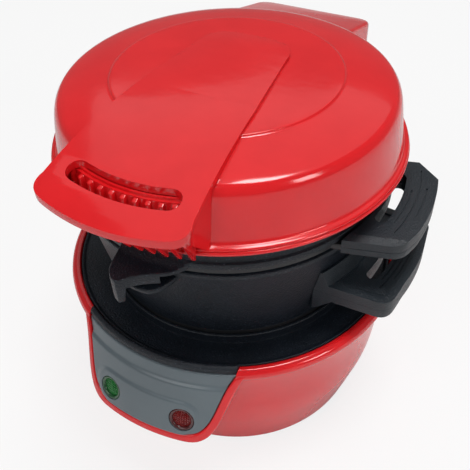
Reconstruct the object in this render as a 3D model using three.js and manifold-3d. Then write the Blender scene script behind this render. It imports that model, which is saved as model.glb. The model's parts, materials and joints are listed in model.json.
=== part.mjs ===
// A countertop hamburger maker: a round base with a heating plate, two stacked cooking rings with a
// swing-out plate between them, and a heated lid. All of it opens on one hinge pin at the back.
// Millimetres, +Z up, the front faces -Y. The cooking axis is the Z axis until the last lines,
// which set the origin on the table under the middle of the whole object.

import * as THREE from 'three';
import { mergeVertices } from 'three/addons/utils/BufferGeometryUtils.js';
import Module from 'manifold-3d';

const wasm = await Module();
wasm.setup();

// Driving sizes of the whole stack
const lidRadius = 75; // outer edge of the lid's flange
const lidHeight = 31.4; // flange edge to the middle of the lid
const bottomRingHeight = 42;
const topRingHeight = 22.2;
const baseHeight = 74.5; // lower edge of the wall to the top of the rim
const footHeight = 3;
const hingeSetback = 9; // lid's flange to the hinge pin

// Clearances
const fitGap = 0.3; // between pieces that touch on the real thing
const seatGap = 0.2; // under a piece that rests on another
const runningGap = 0.6; // between pieces that move past each other
const overrun = 2; // how far a cut runs past the face that it opens

// Facets
const shellFacets = 44;
const plateFacets = 36;
const innerFacets = 24;
const smallFacets = 12;
const holeFacets = 8;
const tubeFacets = 6;

// Base housing
const baseFlare = 5; // rim beyond the lid's flange
const baseTaper = 14.7; // how much narrower the wall is at the floor
const baseWall = 2.6;
const rimBeadHeight = 6.6;
const ledgeWidth = 2.6;
const ledgeThickness = 1.6;
const trayRimDepth = 5.4; // the tray's ledge below the top of the rim
const bossRadius = 6.2;
const bossInset = 4.4; // screw bosses in from the foot of the inner wall
const bossAngles = [62, 118, 242, 298];

// Chin and control panel
const chinHalfWidth = 40.6;
const chinReach = 12.4; // how far the chin's foot stands out from its head
const chinDrop = 36.2; // the frame's lower edge, below the rim
const chinHeadDrop = 2.1; // panel's upper edge below the rim
const frameWidth = 3.6;
const frameProud = 1.2;
const panelThickness = 2;
const lightSpacing = 36; // between the two lights
const lightDrop = 25; // below the rim
const lensRadius = 4.9;
const lensProud = 0.5;
const lensFaceShare = 0.86;
const lampRadius = 2.4;
const lampLength = 10;
const boardHalfWidth = 20.6;
const boardHalfHeight = 3.6;
const boardThickness = 1.6;
const lipHeight = 3.4;
const lipThickness = 2.7;

// Rear pillar, hinge tower and pin
const pillarHalfWidth = 27;
const pillarDepth = 7; // behind the hinge pin
const towerWebDrop = 11.6; // web's upper edge below the pin
const towerWall = 2.8;
const tenonLength = 12;
const tenonInset = 1.2; // tenon inside the tower's outline, a shoulder all round
const towerScrewShare = 0.6; // screws along the tower's half width
const hingeRise = 2.7; // pin above the lower edge of the top ring
const pinRadius = 3;
const pinHeadThickness = 1.6;
const pinHeadRadius = 4.4;
const knuckleRadius = 5.6;
const earThickness = 4;
const knuckleGap = 0.8; // side by side on the pin
const boreGap = 0.25; // around the pin
const ringKnuckleWidth = 9.6; // the middle knuckle
const glandRadius = 5.2;
const glandCollar = 2.4;
const glandBore = 2.8;
const glandHeight = 17;

// Bottom cover, feet and screws
const coverThickness = 2.6;
const footRadius = 7.4;
const footCircleShare = 0.76;
const footStemRadius = 2.6;
const screwShaftRadius = 1.5;
const screwHeadRadius = 3;
const screwHeadThickness = 1.5;
const screwLength = 14;
const towerScrewLength = 4.4;
const ventCount = 5;
const ventLength = 26;
const ventWidth = 2.6;
const ventPitch = 6.4;

// Drip tray and lower heating plate
const traySink = 3.6; // how far the tray falls towards its collar
const trayThickness = 1.4;
const trayEdgeDrop = 0.7; // its edge below the top of the rim
const trayCollarHeight = 3.2;
const trayFlangeWidth = 7;
const plateProud = 2.2; // lower heating plate above the rim
const heatingPlateThickness = 5;
const plateRaise = 1;
const plateRaiseShare = 0.85;
const elementInset = 15.4; // element's circle inside the upper plate's wall
const elementTubeRadius = 3.2;
const elementGapAngle = 44;
const elementTailLength = 6;
const thermostatRadius = 9;
const thermostatHeight = 7;
const shieldDepth = 12;
const shieldThickness = 1;
const bladeLength = 3;
const bladeWidth = 5;
const bladeThickness = 0.8;
const terminalLength = 26;
const terminalWidth = 13;
const terminalHeight = 10;

// Rings
const ringOverhang = 7.2; // lid's flange beyond the top ring
const ringWall = 3.4;
const topRingTaper = 2.4;
const topFlangeHeight = 3;
const mouthStep = 0.6; // bottom ring's mouth inside the top ring's edge
const bottomRingTaper = 8;
const mouthBandHeight = 2.6;
const tabAngle = -3.2; // the lift tab points a little to the left
const tabRightWidth = 20; // where it leaves the ring
const tabLeftWidth = 12;
const tabTipHalfWidth = 2.2;
const tabReach = 17; // top ring's edge to the tip of its lift tab
const tabDrop = 13.6; // top of the ring's flange to the foot of the tab's lip
const crescentHalfWidth = 10.6;
const crescentReach = 10.2;
const crescentThickness = 2.4;
const crescentDrop = 3.4; // under the mouth
const crescentTipShare = 0.62;
const crescentRoundShare = 0.5;

// Cooking plate
const plateInset = 1.3; // its edge inside the top ring's edge
const cookingPlateThickness = 2.9;
const plateDish = 0.8;
const pivotAngle = 150; // where the plate's pin stands, from the front towards +X
const pivotReach = 4.4; // pin outside the top ring's edge
const pivotPinRadius = 2.4;
const pivotHeadRadius = 4;
const pivotHeadThickness = 1.2;
const lugRadius = 6.4;
const lugHeight = 7;

// Side handles
const handleReach = 21.2; // top ring's edge to the grip's outer edge
const handleInnerGap = 1.6; // top ring's edge to the moulding
const slotWidth = 5;
const plateSlotInset = 1.8; // slot from the moulding's inner edge
const ringSlotInset = 4.2;
const plateHandleStart = 72.5; // corners of the grip's outer edge
const plateHandleEnd = 110.5;
const plateEndSplay = 1.5; // how far each end opens towards the ring
const plateHandleUpper = 4.9;
const plateHandleLower = 3;
const ringHandleStart = 71;
const ringHandleEnd = 103;
const ringEndSplay = 5.5;
const ringHandleUpper = 4.4;
const ringHandleLower = 4.2;
const ringHandleDrop = 23.2; // bottom ring's mouth to the handle's parting line
const plateArmAngle = 7.6;
const ringArmAngle = 9.5;
const blockAngle = 7.5;
const blockOverlapAngle = 2;
const blockRise = 11; // block above the handle's parting line
const blockFall = 14.4; // and below it
const blockReach = 4.6; // beyond the handle's inner edge
const blockTopReach = 1.2; // beyond the ring's wall at its top
const blockFootReach = 3;
const tongueThickness = 2.4;
const tongueAngle = 4;
const tongueLength = 10;
const cornerRound = 5;
const chamferLength = 10.6; // along the far corner of the plate's handle
const chamferDepth = 7.4;
const pillarRound = 7;
const borderWidth = 3;
const borderDepth = 0.8;
const handleScrewRadius = 1.2;
const handleScrewHead = 2.2;
const handleScrewShare = 0.6; // screw's reach up into the upper half

// Lid
const lidWall = 2.2;
const flangeDrop = 8.2; // liner above the flange's lower edge
const postRadius = 3.3;
const postAngles = [45, 135, 225, 315];
const linerThickness = 2.2;
const upperPlateInset = 6.8; // upper heating plate inside the top ring's bore
const upperPlateDrop = 10.6; // cooking face under the liner
const upperPlateWall = 3.6;
const upperFlangeWidth = 4.4;
const upperFlangeThickness = 1.5;
const capThickness = 1.2;
const capRise = 4;

// Lid handle
const strapTopRise = 1.5; // strap above the crown
const strapThickness = 3;
const strapFallStart = -5; // where the strap begins to fall towards the tip
const strapWaistShare = 0.4;
const handleTipReach = 16.5; // beyond the lid's flange
const handleTipDrop = 10.8; // tip below the crown
const strapRearShare = 0.35;
const strapRearHalfWidth = 20.2;
const handleTipHalfWidth = 32.2;
const tipCorner = 7;
const gussetRearShare = 0.8; // rear end of the side walls, of the top ring's neck
const slotHalfAngle = 17;
const lidSlotInset = 2.4; // slot's inner arc in from the flange's edge
const lidSlotWidth = 8.4;
const skirtDepth = 5; // turned-down edge of the handle
const skirtInset = 0.6;
const skirtWall = 2;
const ribCount = 12;
const ribHalfAngle = 16;
const ribThickness = 1.7;
const ribDrop = 6; // rib tops below the handle's face
const ribOverhang = 5.4; // ribs below the skirt at the tip
const combWall = 1.6;

// Rear cover on the lid
const coverOverhang = 12.5; // beyond the hinge pin
const coverHalfWidth = 30;
const coverWall = 2.2;
const coverTopDrop = 7.6; // its top below the lid's crown, at the lid
const coverFall = 8.6; // from there to its rear edge
const coverSkirt = 12.6; // depth of its rear wall
const coverCorner = 9;
const lidEarThickness = 3.4;
const bracketFlangeThickness = 3;
const bracketFlangeDrop = 4; // below its screws
const bracketRearShare = 1.15;

// Heights that follow from the sizes above
const baseTop = footHeight + baseHeight;
const chinBottom = baseTop - chinDrop;
const lightHeight = baseTop - lightDrop;
const lowerPlateTop = baseTop + plateProud;
const bottomRingFoot = lowerPlateTop + fitGap;
const bottomRingMouth = bottomRingFoot + bottomRingHeight;
const cookingPlateFoot = bottomRingMouth + runningGap;
const cookingPlateTop = cookingPlateFoot + cookingPlateThickness;
const topRingFoot = cookingPlateTop + fitGap;
const topRingMouth = topRingFoot + topRingHeight;
const linerFoot = topRingMouth + runningGap;
const flangeFoot = linerFoot - flangeDrop;
const crownTop = flangeFoot + lidHeight;
const upperPlateFoot = linerFoot - upperPlateDrop;
const hingeHeight = topRingFoot + hingeRise;
const ledgeTop = baseTop - trayRimDepth;

// Radii that follow from the sizes above
const hingeReach = lidRadius + hingeSetback; // cooking axis to the hinge pin
const baseRimRadius = lidRadius + baseFlare;
const baseFootRadius = baseRimRadius - baseTaper;
const trayRadius = baseRimRadius - baseWall - 2 * fitGap - ledgeThickness;
const topRingRadius = lidRadius - ringOverhang;
const topRingNeck = topRingRadius - topRingTaper;
const topRingBore = topRingNeck - ringWall;
const mouthRadius = topRingRadius - mouthStep;
const bottomRingFootRadius = mouthRadius - bottomRingTaper;
const bottomRingBore = bottomRingFootRadius - ringWall;
const lowerPlateRadius = bottomRingFootRadius - fitGap;
const cookingPlateRadius = topRingRadius - plateInset;
const upperPlateRadius = topRingBore - upperPlateInset;
const elementRadius = upperPlateRadius - upperPlateWall - elementInset;
const handleRadius = topRingRadius + handleReach;
const handleInner = topRingRadius + handleInnerGap;
const pivotRadius = topRingRadius + pivotReach;
const pillarRear = hingeReach + pillarDepth;

// Finishes
const finish = (color, roughness, metalness) => (
  new THREE.MeshStandardMaterial({ color, roughness, metalness })
);
const redGloss = finish(0xd0141a, 0.22, 0.0);
const blackMoulding = finish(0x23272b, 0.55, 0.0);
const blackCoating = finish(0x14181e, 0.6, 0.1);
const greyPanel = finish(0x4b555c, 0.5, 0.0);
const greenLens = finish(0x1f7a34, 0.2, 0.0);
const redLens = finish(0x7a1414, 0.2, 0.0);
const steel = finish(0xb9bcc0, 0.35, 1.0);
const castPlate = finish(0x25272a, 0.5, 0.6);
const rubber = finish(0x1a1a1a, 0.9, 0.0);
const board = finish(0x8a6a3a, 0.7, 0.0);
const ceramic = finish(0xe6e2d8, 0.7, 0.0);

// Points and angles: an angle is measured from the front, -Y, towards +X
const radians = THREE.MathUtils.degToRad;
const polar = (radius, angle) => [radius * Math.sin(radians(angle)), -radius * Math.cos(radians(angle))];
const degreesOf = (length, radius) => THREE.MathUtils.radToDeg(length / radius);
const mix = (from, to, share) => from + (to - from) * share;

// Turns a closed geometry into a solid with its faces pointing out
function asSolid(geometry) {
  const bare = geometry.index ? geometry.toNonIndexed() : geometry;
  bare.deleteAttribute('normal');
  bare.deleteAttribute('uv');
  const merged = mergeVertices(bare);
  const positions = merged.attributes.position.array;
  const corners = [];
  for (let i = 0; i < merged.index.count; i += 3) {
    const [a, b, c] = [merged.index.getX(i), merged.index.getX(i + 1), merged.index.getX(i + 2)];
    if (a !== b && b !== c && c !== a) corners.push([a, b, c]);
  }
  const at = (i) => new THREE.Vector3().fromArray(positions, i * 3);
  const volume = corners.reduce((sum, [a, b, c]) => sum + at(a).dot(at(b).cross(at(c))), 0);
  const outward = volume < 0 ? corners.map(([a, b, c]) => [a, c, b]) : corners;
  return new wasm.Manifold(new wasm.Mesh({
    numProp: 3,
    vertProperties: new Float32Array(positions),
    triVerts: new Uint32Array(outward.flat()),
  }));
}

const join = (...solids) => solids.flat().reduce((sum, solid) => sum.add(solid));
const cut = (solid, ...tools) => tools.flat().reduce((rest, tool) => rest.subtract(tool), solid);
const common = (...solids) => solids.flat().reduce((rest, solid) => rest.intersect(solid));

// A closed outline of [radius, height] points, turned about the Z axis
function turned(outline, facets = innerFacets) {
  const onAxis = outline[0][0] === 0 && outline.at(-1)[0] === 0;
  const closed = onAxis ? outline : [...outline, outline[0]];
  const points = closed.map(([radius, height]) => new THREE.Vector2(radius, height));
  return asSolid(new THREE.LatheGeometry(points, facets).rotateX(Math.PI / 2));
}

// A flat shape in X and Y, thickened from one height to another
function raised(shape, low, high, curveSegments = smallFacets) {
  const geometry = new THREE.ExtrudeGeometry(
    shape,
    { depth: high - low, bevelEnabled: false, curveSegments },
  );
  return asSolid(geometry.translate(0, 0, low));
}

// A flat shape in Y and Z, thickened along X
function sideways(shape, left, right) {
  const geometry = new THREE.ExtrudeGeometry(
    shape,
    { depth: right - left, bevelEnabled: false, curveSegments: holeFacets },
  );
  const turn = new THREE.Matrix4().makeBasis(
    new THREE.Vector3(0, 1, 0),
    new THREE.Vector3(0, 0, 1),
    new THREE.Vector3(1, 0, 0),
  );
  return asSolid(geometry.applyMatrix4(turn).translate(left, 0, 0));
}

// A flat shape in X and Z, thickened from the cooking axis out to the front
function frontways(shape, reach) {
  const geometry = new THREE.ExtrudeGeometry(
    shape,
    { depth: reach, bevelEnabled: false, curveSegments: holeFacets },
  );
  return asSolid(geometry.rotateX(Math.PI / 2));
}

// A rod between two points
function rod(radius, from, to, facets = smallFacets, endRadius = radius) {
  const start = new THREE.Vector3(...from);
  const end = new THREE.Vector3(...to);
  const length = start.distanceTo(end);
  const geometry = new THREE.CylinderGeometry(endRadius, radius, length, facets);
  const turn = new THREE.Quaternion().setFromUnitVectors(
    new THREE.Vector3(0, 1, 0),
    end.clone().sub(start).normalize(),
  );
  const middle = start.add(end).multiplyScalar(0.5);
  return asSolid(geometry.applyQuaternion(turn).translate(middle.x, middle.y, middle.z));
}

function block(low, high) {
  const size = high.map((value, i) => value - low[i]);
  const middle = high.map((value, i) => (value + low[i]) / 2);
  return asSolid(new THREE.BoxGeometry(...size).translate(...middle));
}

// A shape through points, with each corner rounded by its own radius
function roundedShape(corners) {
  const shape = new THREE.Shape();
  const points = corners.map(([x, y]) => new THREE.Vector2(x, y));
  corners.forEach(([, , round = 0], i) => {
    const here = points[i];
    const before = points[(i + points.length - 1) % points.length];
    const after = points[(i + 1) % points.length];
    const reach = Math.min(round, here.distanceTo(before) / 2, here.distanceTo(after) / 2);
    const enter = here.clone().lerp(before, reach / here.distanceTo(before));
    const leave = here.clone().lerp(after, reach / here.distanceTo(after));
    if (i === 0) shape.moveTo(enter.x, enter.y);
    else shape.lineTo(enter.x, enter.y);
    if (reach > 0) shape.quadraticCurveTo(here.x, here.y, leave.x, leave.y);
  });
  shape.closePath();
  return shape;
}

// Points along an arc about the cooking axis
function arcPoints(radius, from, to, steps) {
  return Array.from({ length: steps + 1 }, (_, i) => polar(radius, mix(from, to, i / steps)));
}

// A band between two radii and two angles
function sector(inner, outer, from, to, steps = smallFacets) {
  return roundedShape([...arcPoints(inner, from, to, steps), ...arcPoints(outer, to, from, steps)]);
}

// A slot along an arc, with half-round ends
const capSteps = 4;

function arcSlot(inner, outer, from, to, steps = holeFacets) {
  const middle = (inner + outer) / 2;
  const half = (outer - inner) / 2;
  const shrink = degreesOf(half, middle);
  const cap = (angle, way) => Array.from({ length: capSteps - 1 }, (_, i) => {
    const turn = (Math.PI * (i + 1)) / capSteps;
    const [x, y] = polar(middle + way * half * Math.cos(turn), angle);
    const along = way * half * Math.sin(turn);
    return [x + along * Math.cos(radians(angle)), y + along * Math.sin(radians(angle))];
  });
  return roundedShape([
    ...arcPoints(outer, from + shrink, to - shrink, steps),
    ...cap(to - shrink, 1),
    ...arcPoints(inner, to - shrink, from + shrink, steps),
    ...cap(from + shrink, -1),
  ]);
}

// A grip's outline: an inner and an outer arc between two ends that open towards the ring by a splay
// angle, with rounded outer corners; a chamfer can cut the far one straight
function handleOutline({ inner, outer, from, to, splay, chamfered = false }) {
  const round = Math.min(cornerRound, (outer - inner) / 2);
  const edge = degreesOf(round, outer);
  const endAngle = (radius, angle, way) => angle + way * splay * ((outer - radius) / (outer - inner));
  const nearAngle = (radius) => endAngle(radius, from, -1);
  const farAngle = (radius) => endAngle(radius, to, 1);
  const farReach = chamfered ? degreesOf(chamferLength, outer) : edge;
  const shape = new THREE.Shape();
  const innerSide = arcPoints(inner, farAngle(inner), nearAngle(inner), smallFacets);
  shape.moveTo(...innerSide[0]);
  innerSide.slice(1).forEach((point) => shape.lineTo(...point));
  shape.lineTo(...polar(outer - round, nearAngle(outer - round)));
  shape.quadraticCurveTo(...polar(outer, from), ...polar(outer, from + edge));
  const outerArc = arcPoints(outer, from + edge, to - farReach, smallFacets);
  outerArc.slice(1).forEach((point) => shape.lineTo(...point));
  if (chamfered) shape.lineTo(...polar(outer - chamferDepth, farAngle(outer - chamferDepth)));
  else shape.quadraticCurveTo(...polar(outer, to), ...polar(outer - round, farAngle(outer - round)));
  shape.closePath();
  return shape;
}

const model = new THREE.Group();

function addPart(name, solid, material) {
  const mesh = solid.getMesh();
  const geometry = new THREE.BufferGeometry();
  geometry.setAttribute('position', new THREE.BufferAttribute(mesh.vertProperties, 3));
  geometry.setIndex(new THREE.BufferAttribute(mesh.triVerts, 1));
  geometry.computeVertexNormals();
  const part = new THREE.Mesh(geometry, material);
  part.name = name;
  model.add(part);
}

// Chin: its face is a cone that leans out towards the floor
const chinHead = baseTop - chinHeadDrop;
const chinHeadRadius = baseRimRadius - frameProud;
const chinSlope = chinReach / (chinHead - chinBottom);
const chinFace = (height, out) => chinHeadRadius + (chinHead - height) * chinSlope + out;
const lightAngle = THREE.MathUtils.radToDeg(Math.asin(lightSpacing / 2 / chinFace(lightHeight, 0)));

// The U of the chin's frame, seen from the front: shares of its half width and of its height
const chinSideShares = [[1, 1], [0.925, 0.78], [0.865, 0.5]];
const chinCornerShares = [[0.8, 0.15], [0.72, 0], [0.5, 0]];

function chinOutline(inset) {
  const half = chinHalfWidth - inset;
  const foot = chinBottom + inset;
  const at = ([across, up], side) => [side * half * across, mix(foot, chinHead, up)];
  const sideEnd = chinSideShares.at(-1);
  const [cornerHigh, cornerLow, floorEnd] = chinCornerShares;
  const shape = new THREE.Shape();
  shape.moveTo(-half, baseTop * 2);
  chinSideShares.forEach((share) => shape.lineTo(...at(share, -1)));
  shape.bezierCurveTo(...at(cornerHigh, -1), ...at(cornerLow, -1), ...at(floorEnd, -1));
  shape.lineTo(...at(floorEnd, 1));
  shape.bezierCurveTo(...at(cornerLow, 1), ...at(cornerHigh, 1), ...at(sideEnd, 1));
  chinSideShares.slice(0, -1).reverse().forEach((share) => shape.lineTo(...at(share, 1)));
  shape.lineTo(half, baseTop * 2);
  shape.closePath();
  return shape;
}

function chinBlock(out, inset, low, high, inner) {
  const band = turned([
    [inner, low],
    [chinFace(low, out), low],
    [chinFace(high, out), high],
    [inner, high],
  ], shellFacets);
  return common(band, frontways(chinOutline(inset), baseRimRadius * 2));
}

function lightPoint(side, depth) {
  const [x, y] = polar(chinFace(lightHeight, 0), side * lightAngle);
  const lean = Math.atan(chinSlope);
  const outward = new THREE.Vector3(x, y, 0).normalize().multiplyScalar(Math.cos(lean));
  outward.z = Math.sin(lean);
  return [x + outward.x * depth, y + outward.y * depth, lightHeight + outward.z * depth];
}

const lightHoles = (radius) => [-1, 1].map((side) => (
  rod(radius, lightPoint(side, -lampLength), lightPoint(side, lampLength), smallFacets)
));

function pillarShape(inset) {
  const half = pillarHalfWidth - inset;
  return roundedShape([
    [-half, 0],
    [half, 0],
    [half, pillarRear - inset, pillarRound],
    [-half, pillarRear - inset, pillarRound],
  ]);
}

// Every piece on the hinge pin has its own place along X
const ringKnuckleHalf = ringKnuckleWidth / 2;
const armInner = ringKnuckleHalf + knuckleGap;
const armOuter = armInner + earThickness;
const lidEarInner = armOuter + knuckleGap;
const lidEarOuter = lidEarInner + lidEarThickness;
const towerEarInner = lidEarOuter + knuckleGap;
const towerEarOuter = towerEarInner + earThickness;

// Foot of the hinge tower: it stands on the pillar, with a tenon in it and two screws from behind
const towerHalfWidth = towerEarOuter;
const towerFront = baseRimRadius + fitGap;
const towerBack = pillarRear - fitGap;
const screwCircle = baseFootRadius - baseWall - bossInset;
const pillarTop = baseTop - chinHeadDrop;
const innerCavityTop = ledgeTop - ledgeThickness;
const towerScrewPlaces = [-1, 1].map((side) => [
  side * towerHalfWidth * towerScrewShare,
  pillarTop - tenonLength / 2,
]);

// The base's wall and rim bead: shares of its flare from the foot to the rim, and of its height
const wallShares = [
  [0, 0],
  [0.14, 0.11],
  [0.32, 0.26],
  [0.49, 0.405],
  [0.56, 0.55],
  [0.6, 0.7],
  [0.69, 0.85],
  [0.82, 1],
];
const beadShares = [[0.92, 0.12], [1, 0.5], [0.93, 0.82]];
const beadCrestShare = 0.55; // between the tray's seat and the rim
const beadEdgeShare = 0.86;

function makeHousing() {
  const flare = (share) => mix(baseFootRadius, baseRimRadius, share);
  const up = (share) => mix(footHeight, baseTop - rimBeadHeight, share);
  const bead = (share) => mix(baseTop - rimBeadHeight, baseTop, share);
  const rimInner = trayRadius + fitGap;
  const innerWall = wallShares.slice(0, -1).map(([across, high]) => [flare(across) - baseWall, up(high)]);
  const ledgeInner = Math.min(rimInner - ledgeWidth, innerWall.at(-1)[0]);
  const wall = turned([
    ...wallShares.map(([across, high]) => [flare(across), up(high)]),
    ...beadShares.map(([across, high]) => [flare(across), bead(high)]),
    [mix(rimInner, baseRimRadius, beadCrestShare), bead(1)],
    [rimInner, bead(beadEdgeShare)],
    [rimInner, ledgeTop],
    [ledgeInner, ledgeTop],
    ...innerWall.slice().reverse(),
  ], shellFacets);
  const hollow = turned([
    [0, footHeight - overrun],
    [flare(0) - baseWall, footHeight - overrun],
    ...innerWall,
    [ledgeInner, ledgeTop],
    [rimInner, ledgeTop],
    [rimInner, baseTop + overrun],
    [0, baseTop + overrun],
  ], shellFacets);
  const chin = chinBlock(frameProud, 0, chinBottom, chinHead, flare(0) - baseWall);
  const chinHollow = chinBlock(
    -panelThickness - fitGap - baseWall, baseWall, chinBottom + baseWall, innerCavityTop, 0,
  );
  const recess = cut(
    chinBlock(overrun * 2, frameWidth, chinBottom + frameWidth, baseTop + overrun, 0),
    turned([
      [0, 0],
      [chinFace(0, -panelThickness - fitGap), 0],
      [chinFace(chinHead, -panelThickness - fitGap), chinHead],
      [0, chinHead],
    ], shellFacets),
    rod(rimInner, [0, 0, 0], [0, 0, baseTop * 2], shellFacets),
  );
  const pillar = raised(pillarShape(0), footHeight, pillarTop);
  const pillarHollow = common(
    raised(pillarShape(baseWall), footHeight + baseWall, pillarTop - baseWall),
    block([-baseRimRadius, baseFootRadius / 2, 0], [baseRimRadius, pillarRear, baseTop]),
  );
  const bosses = bossAngles.map((angle) => rod(
    bossRadius,
    [...polar(screwCircle, angle), footHeight + coverThickness + fitGap],
    [...polar(screwCircle, angle), footHeight + screwLength + overrun * 3],
  ));
  const pilotHoles = bossAngles.map((angle) => rod(
    screwShaftRadius + boreGap,
    [...polar(screwCircle, angle), 0],
    [...polar(screwCircle, angle), footHeight + screwLength + overrun],
    holeFacets,
  ));
  const glandHole = rod(
    glandRadius - baseWall / 2 + fitGap,
    [0, pillarRear - baseWall - overrun, glandHeight],
    [0, pillarRear + overrun, glandHeight],
  );
  const towerHole = block(
    [
      -towerHalfWidth + tenonInset - fitGap,
      towerFront + tenonInset - fitGap,
      pillarTop - tenonLength - overrun,
    ],
    [towerHalfWidth - tenonInset + fitGap, towerBack - tenonInset + fitGap, pillarTop + overrun],
  );
  const towerScrewHoles = towerScrewPlaces.map(([x, z]) => join(
    rod(screwShaftRadius + fitGap, [x, towerFront, z], [x, pillarRear + overrun, z], holeFacets),
    rod(
      screwHeadRadius + fitGap,
      [x, pillarRear - screwHeadThickness - seatGap, z],
      [x, pillarRear + overrun, z],
      holeFacets,
    ),
  ));
  const shell = join(wall, cut(chin, hollow), cut(pillar, hollow));
  return cut(
    join(shell, bosses),
    chinHollow, recess, pillarHollow, towerHole, towerScrewHoles, pilotHoles, glandHole,
    lightHoles(lampRadius + fitGap),
  );
}

addPart('base_housing', makeHousing(), redGloss);

// Bottom cover, with vents, feet and the screws that hold it
const coverRadius = baseFootRadius - baseWall - fitGap;
const coverTop = footHeight + coverThickness;

function makeCover() {
  const disc = rod(coverRadius, [0, 0, footHeight], [0, 0, coverTop], innerFacets);
  const vents = Array.from({ length: ventCount }, (_, i) => {
    const x = (i - (ventCount - 1) / 2) * ventPitch;
    return block(
      [x - ventWidth / 2, -ventLength / 2, 0],
      [x + ventWidth / 2, ventLength / 2, coverTop + overrun],
    );
  });
  const screwHoles = bossAngles.map((angle) => join(
    rod(
      screwShaftRadius + fitGap,
      [...polar(screwCircle, angle), 0],
      [...polar(screwCircle, angle), baseTop],
      holeFacets,
    ),
    rod(
      screwHeadRadius + fitGap,
      [...polar(screwCircle, angle), 0],
      [...polar(screwCircle, angle), footHeight + screwHeadThickness + seatGap],
      holeFacets,
    ),
  ));
  const stemHoles = footPlaces.map(([x, y]) => rod(
    footStemRadius + fitGap,
    [x, y, 0],
    [x, y, baseTop],
    holeFacets,
  ));
  return cut(disc, vents, screwHoles, stemHoles);
}

const footAngles = { front_right: 40, rear_right: 140, rear_left: 220, front_left: 320 };
const footPlaces = Object.values(footAngles).map((angle) => polar(coverRadius * footCircleShare, angle));
addPart('bottom_cover', makeCover(), blackMoulding);

Object.keys(footAngles).forEach((corner, i) => {
  const [x, y] = footPlaces[i];
  const pad = rod(footRadius, [x, y, 0], [x, y, footHeight - seatGap], smallFacets, footRadius * 1.06);
  const stem = rod(footStemRadius, [x, y, footHeight / 2], [x, y, coverTop + seatGap], holeFacets);
  addPart(`foot_${corner}`, join(pad, stem), rubber);
});

bossAngles.forEach((angle, i) => {
  const [x, y] = polar(screwCircle, angle);
  const headTop = footHeight + screwHeadThickness;
  addPart(`cover_screw_${i + 1}`, join(
    rod(screwHeadRadius, [x, y, footHeight], [x, y, headTop], holeFacets),
    rod(screwShaftRadius, [x, y, footHeight + seatGap], [x, y, headTop + screwLength - overrun], holeFacets),
  ), steel);
});

// Control panel, its two lights and the lamps behind them
const panelOuter = (low, high, out, inset) => cut(
  chinBlock(out, inset, low, high, 0),
  turned(
    [
      [0, 0],
      [chinFace(0, -panelThickness), 0],
      [chinFace(chinHead, -panelThickness), chinHead],
      [0, chinHead],
    ],
    shellFacets,
  ),
);
addPart(
  'control_panel',
  cut(
    panelOuter(chinBottom + frameWidth + fitGap, chinHead - fitGap, 0, frameWidth + fitGap),
    lightHoles(lensRadius + fitGap),
  ),
  greyPanel,
);

const lensFoot = -panelThickness - fitGap + seatGap;
['ready', 'power'].forEach((light, i) => {
  const side = i === 0 ? -1 : 1;
  const lens = join(
    rod(lensRadius, lightPoint(side, lensFoot), lightPoint(side, 0), smallFacets),
    rod(lensRadius * lensFaceShare, lightPoint(side, lensFoot / 2), lightPoint(side, lensProud), smallFacets),
  );
  addPart(`${light}_light_lens`, lens, i === 0 ? greenLens : redLens);
});

// A small board that carries the two lamps and stands on the chin's floor
const lampEnd = lightPoint(1, lensFoot - lampLength);
const boardFoot = chinBottom + baseWall + fitGap;
addPart('light_board', join(
  block(
    [-boardHalfWidth, lampEnd[1] - boardThickness, boardFoot],
    [boardHalfWidth, lampEnd[1], boardFoot + boardHalfHeight * 2],
  ),
  [-1, 1].map((side) => rod(
    lampRadius, lightPoint(side, lensFoot - fitGap), lightPoint(side, lensFoot - lampLength), smallFacets,
  )),
), board);

// Black lip in front of the tray, over the control panel
const lipHalfWidth = chinHalfWidth - frameWidth - fitGap;
const lipFoot = chinHead + fitGap / 2;
const lipBand = turned([
  [trayRadius + fitGap * 2, lipFoot],
  [trayRadius + fitGap * 2 + lipThickness, lipFoot],
  [trayRadius + fitGap * 2 + lipThickness, lipFoot + lipHeight * 0.6],
  [trayRadius + fitGap * 2 + lipThickness * 0.75, lipFoot + lipHeight * 0.94],
  [trayRadius + fitGap * 2 + lipThickness * 0.4, lipFoot + lipHeight],
  [trayRadius + fitGap * 2, lipFoot + lipHeight * 0.8],
], shellFacets);
addPart('tray_front_lip', common(lipBand, block(
  [-lipHalfWidth, -baseRimRadius * 2, 0],
  [lipHalfWidth, 0, baseTop * 2],
)), blackCoating);

// Drip tray: an outer lip on the housing's ledge, a floor that falls to a collar, and a flange for the plate
const trayEdge = baseTop - trayEdgeDrop;
const trayFloor = trayEdge - traySink;
const collarInner = lowerPlateRadius + fitGap;
const collarOuter = collarInner + trayThickness;
const plateUnderside = lowerPlateTop - heatingPlateThickness;
const trayFlangeTop = plateUnderside - seatGap;
const trayFoot = ledgeTop + seatGap;
addPart('drip_tray', turned([
  [trayRadius, trayFoot],
  [trayRadius, trayEdge],
  [trayRadius - trayThickness, trayEdge - trayThickness / 2],
  [collarOuter, trayFloor],
  [collarOuter, trayFlangeTop + trayCollarHeight],
  [collarInner, trayFlangeTop + trayCollarHeight],
  [collarInner, trayFlangeTop],
  [collarInner - trayFlangeWidth, trayFlangeTop],
  [collarInner - trayFlangeWidth, trayFlangeTop - trayThickness],
  [collarInner - fitGap, trayFlangeTop - trayThickness],
  [collarOuter, trayFloor - trayThickness],
  [trayRadius - trayThickness, trayEdge - trayThickness * 2],
  [trayRadius - trayThickness, trayFoot],
], plateFacets), blackCoating);

// Lower heating plate, element, thermostat and heat shield
addPart('lower_heating_plate', turned([
  [0, plateUnderside],
  [lowerPlateRadius, plateUnderside],
  [lowerPlateRadius, lowerPlateTop],
  [lowerPlateRadius * plateRaiseShare, lowerPlateTop],
  [lowerPlateRadius * plateRaiseShare - plateRaise, lowerPlateTop + plateRaise],
  [0, lowerPlateTop + plateRaise],
], plateFacets), castPlate);

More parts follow.
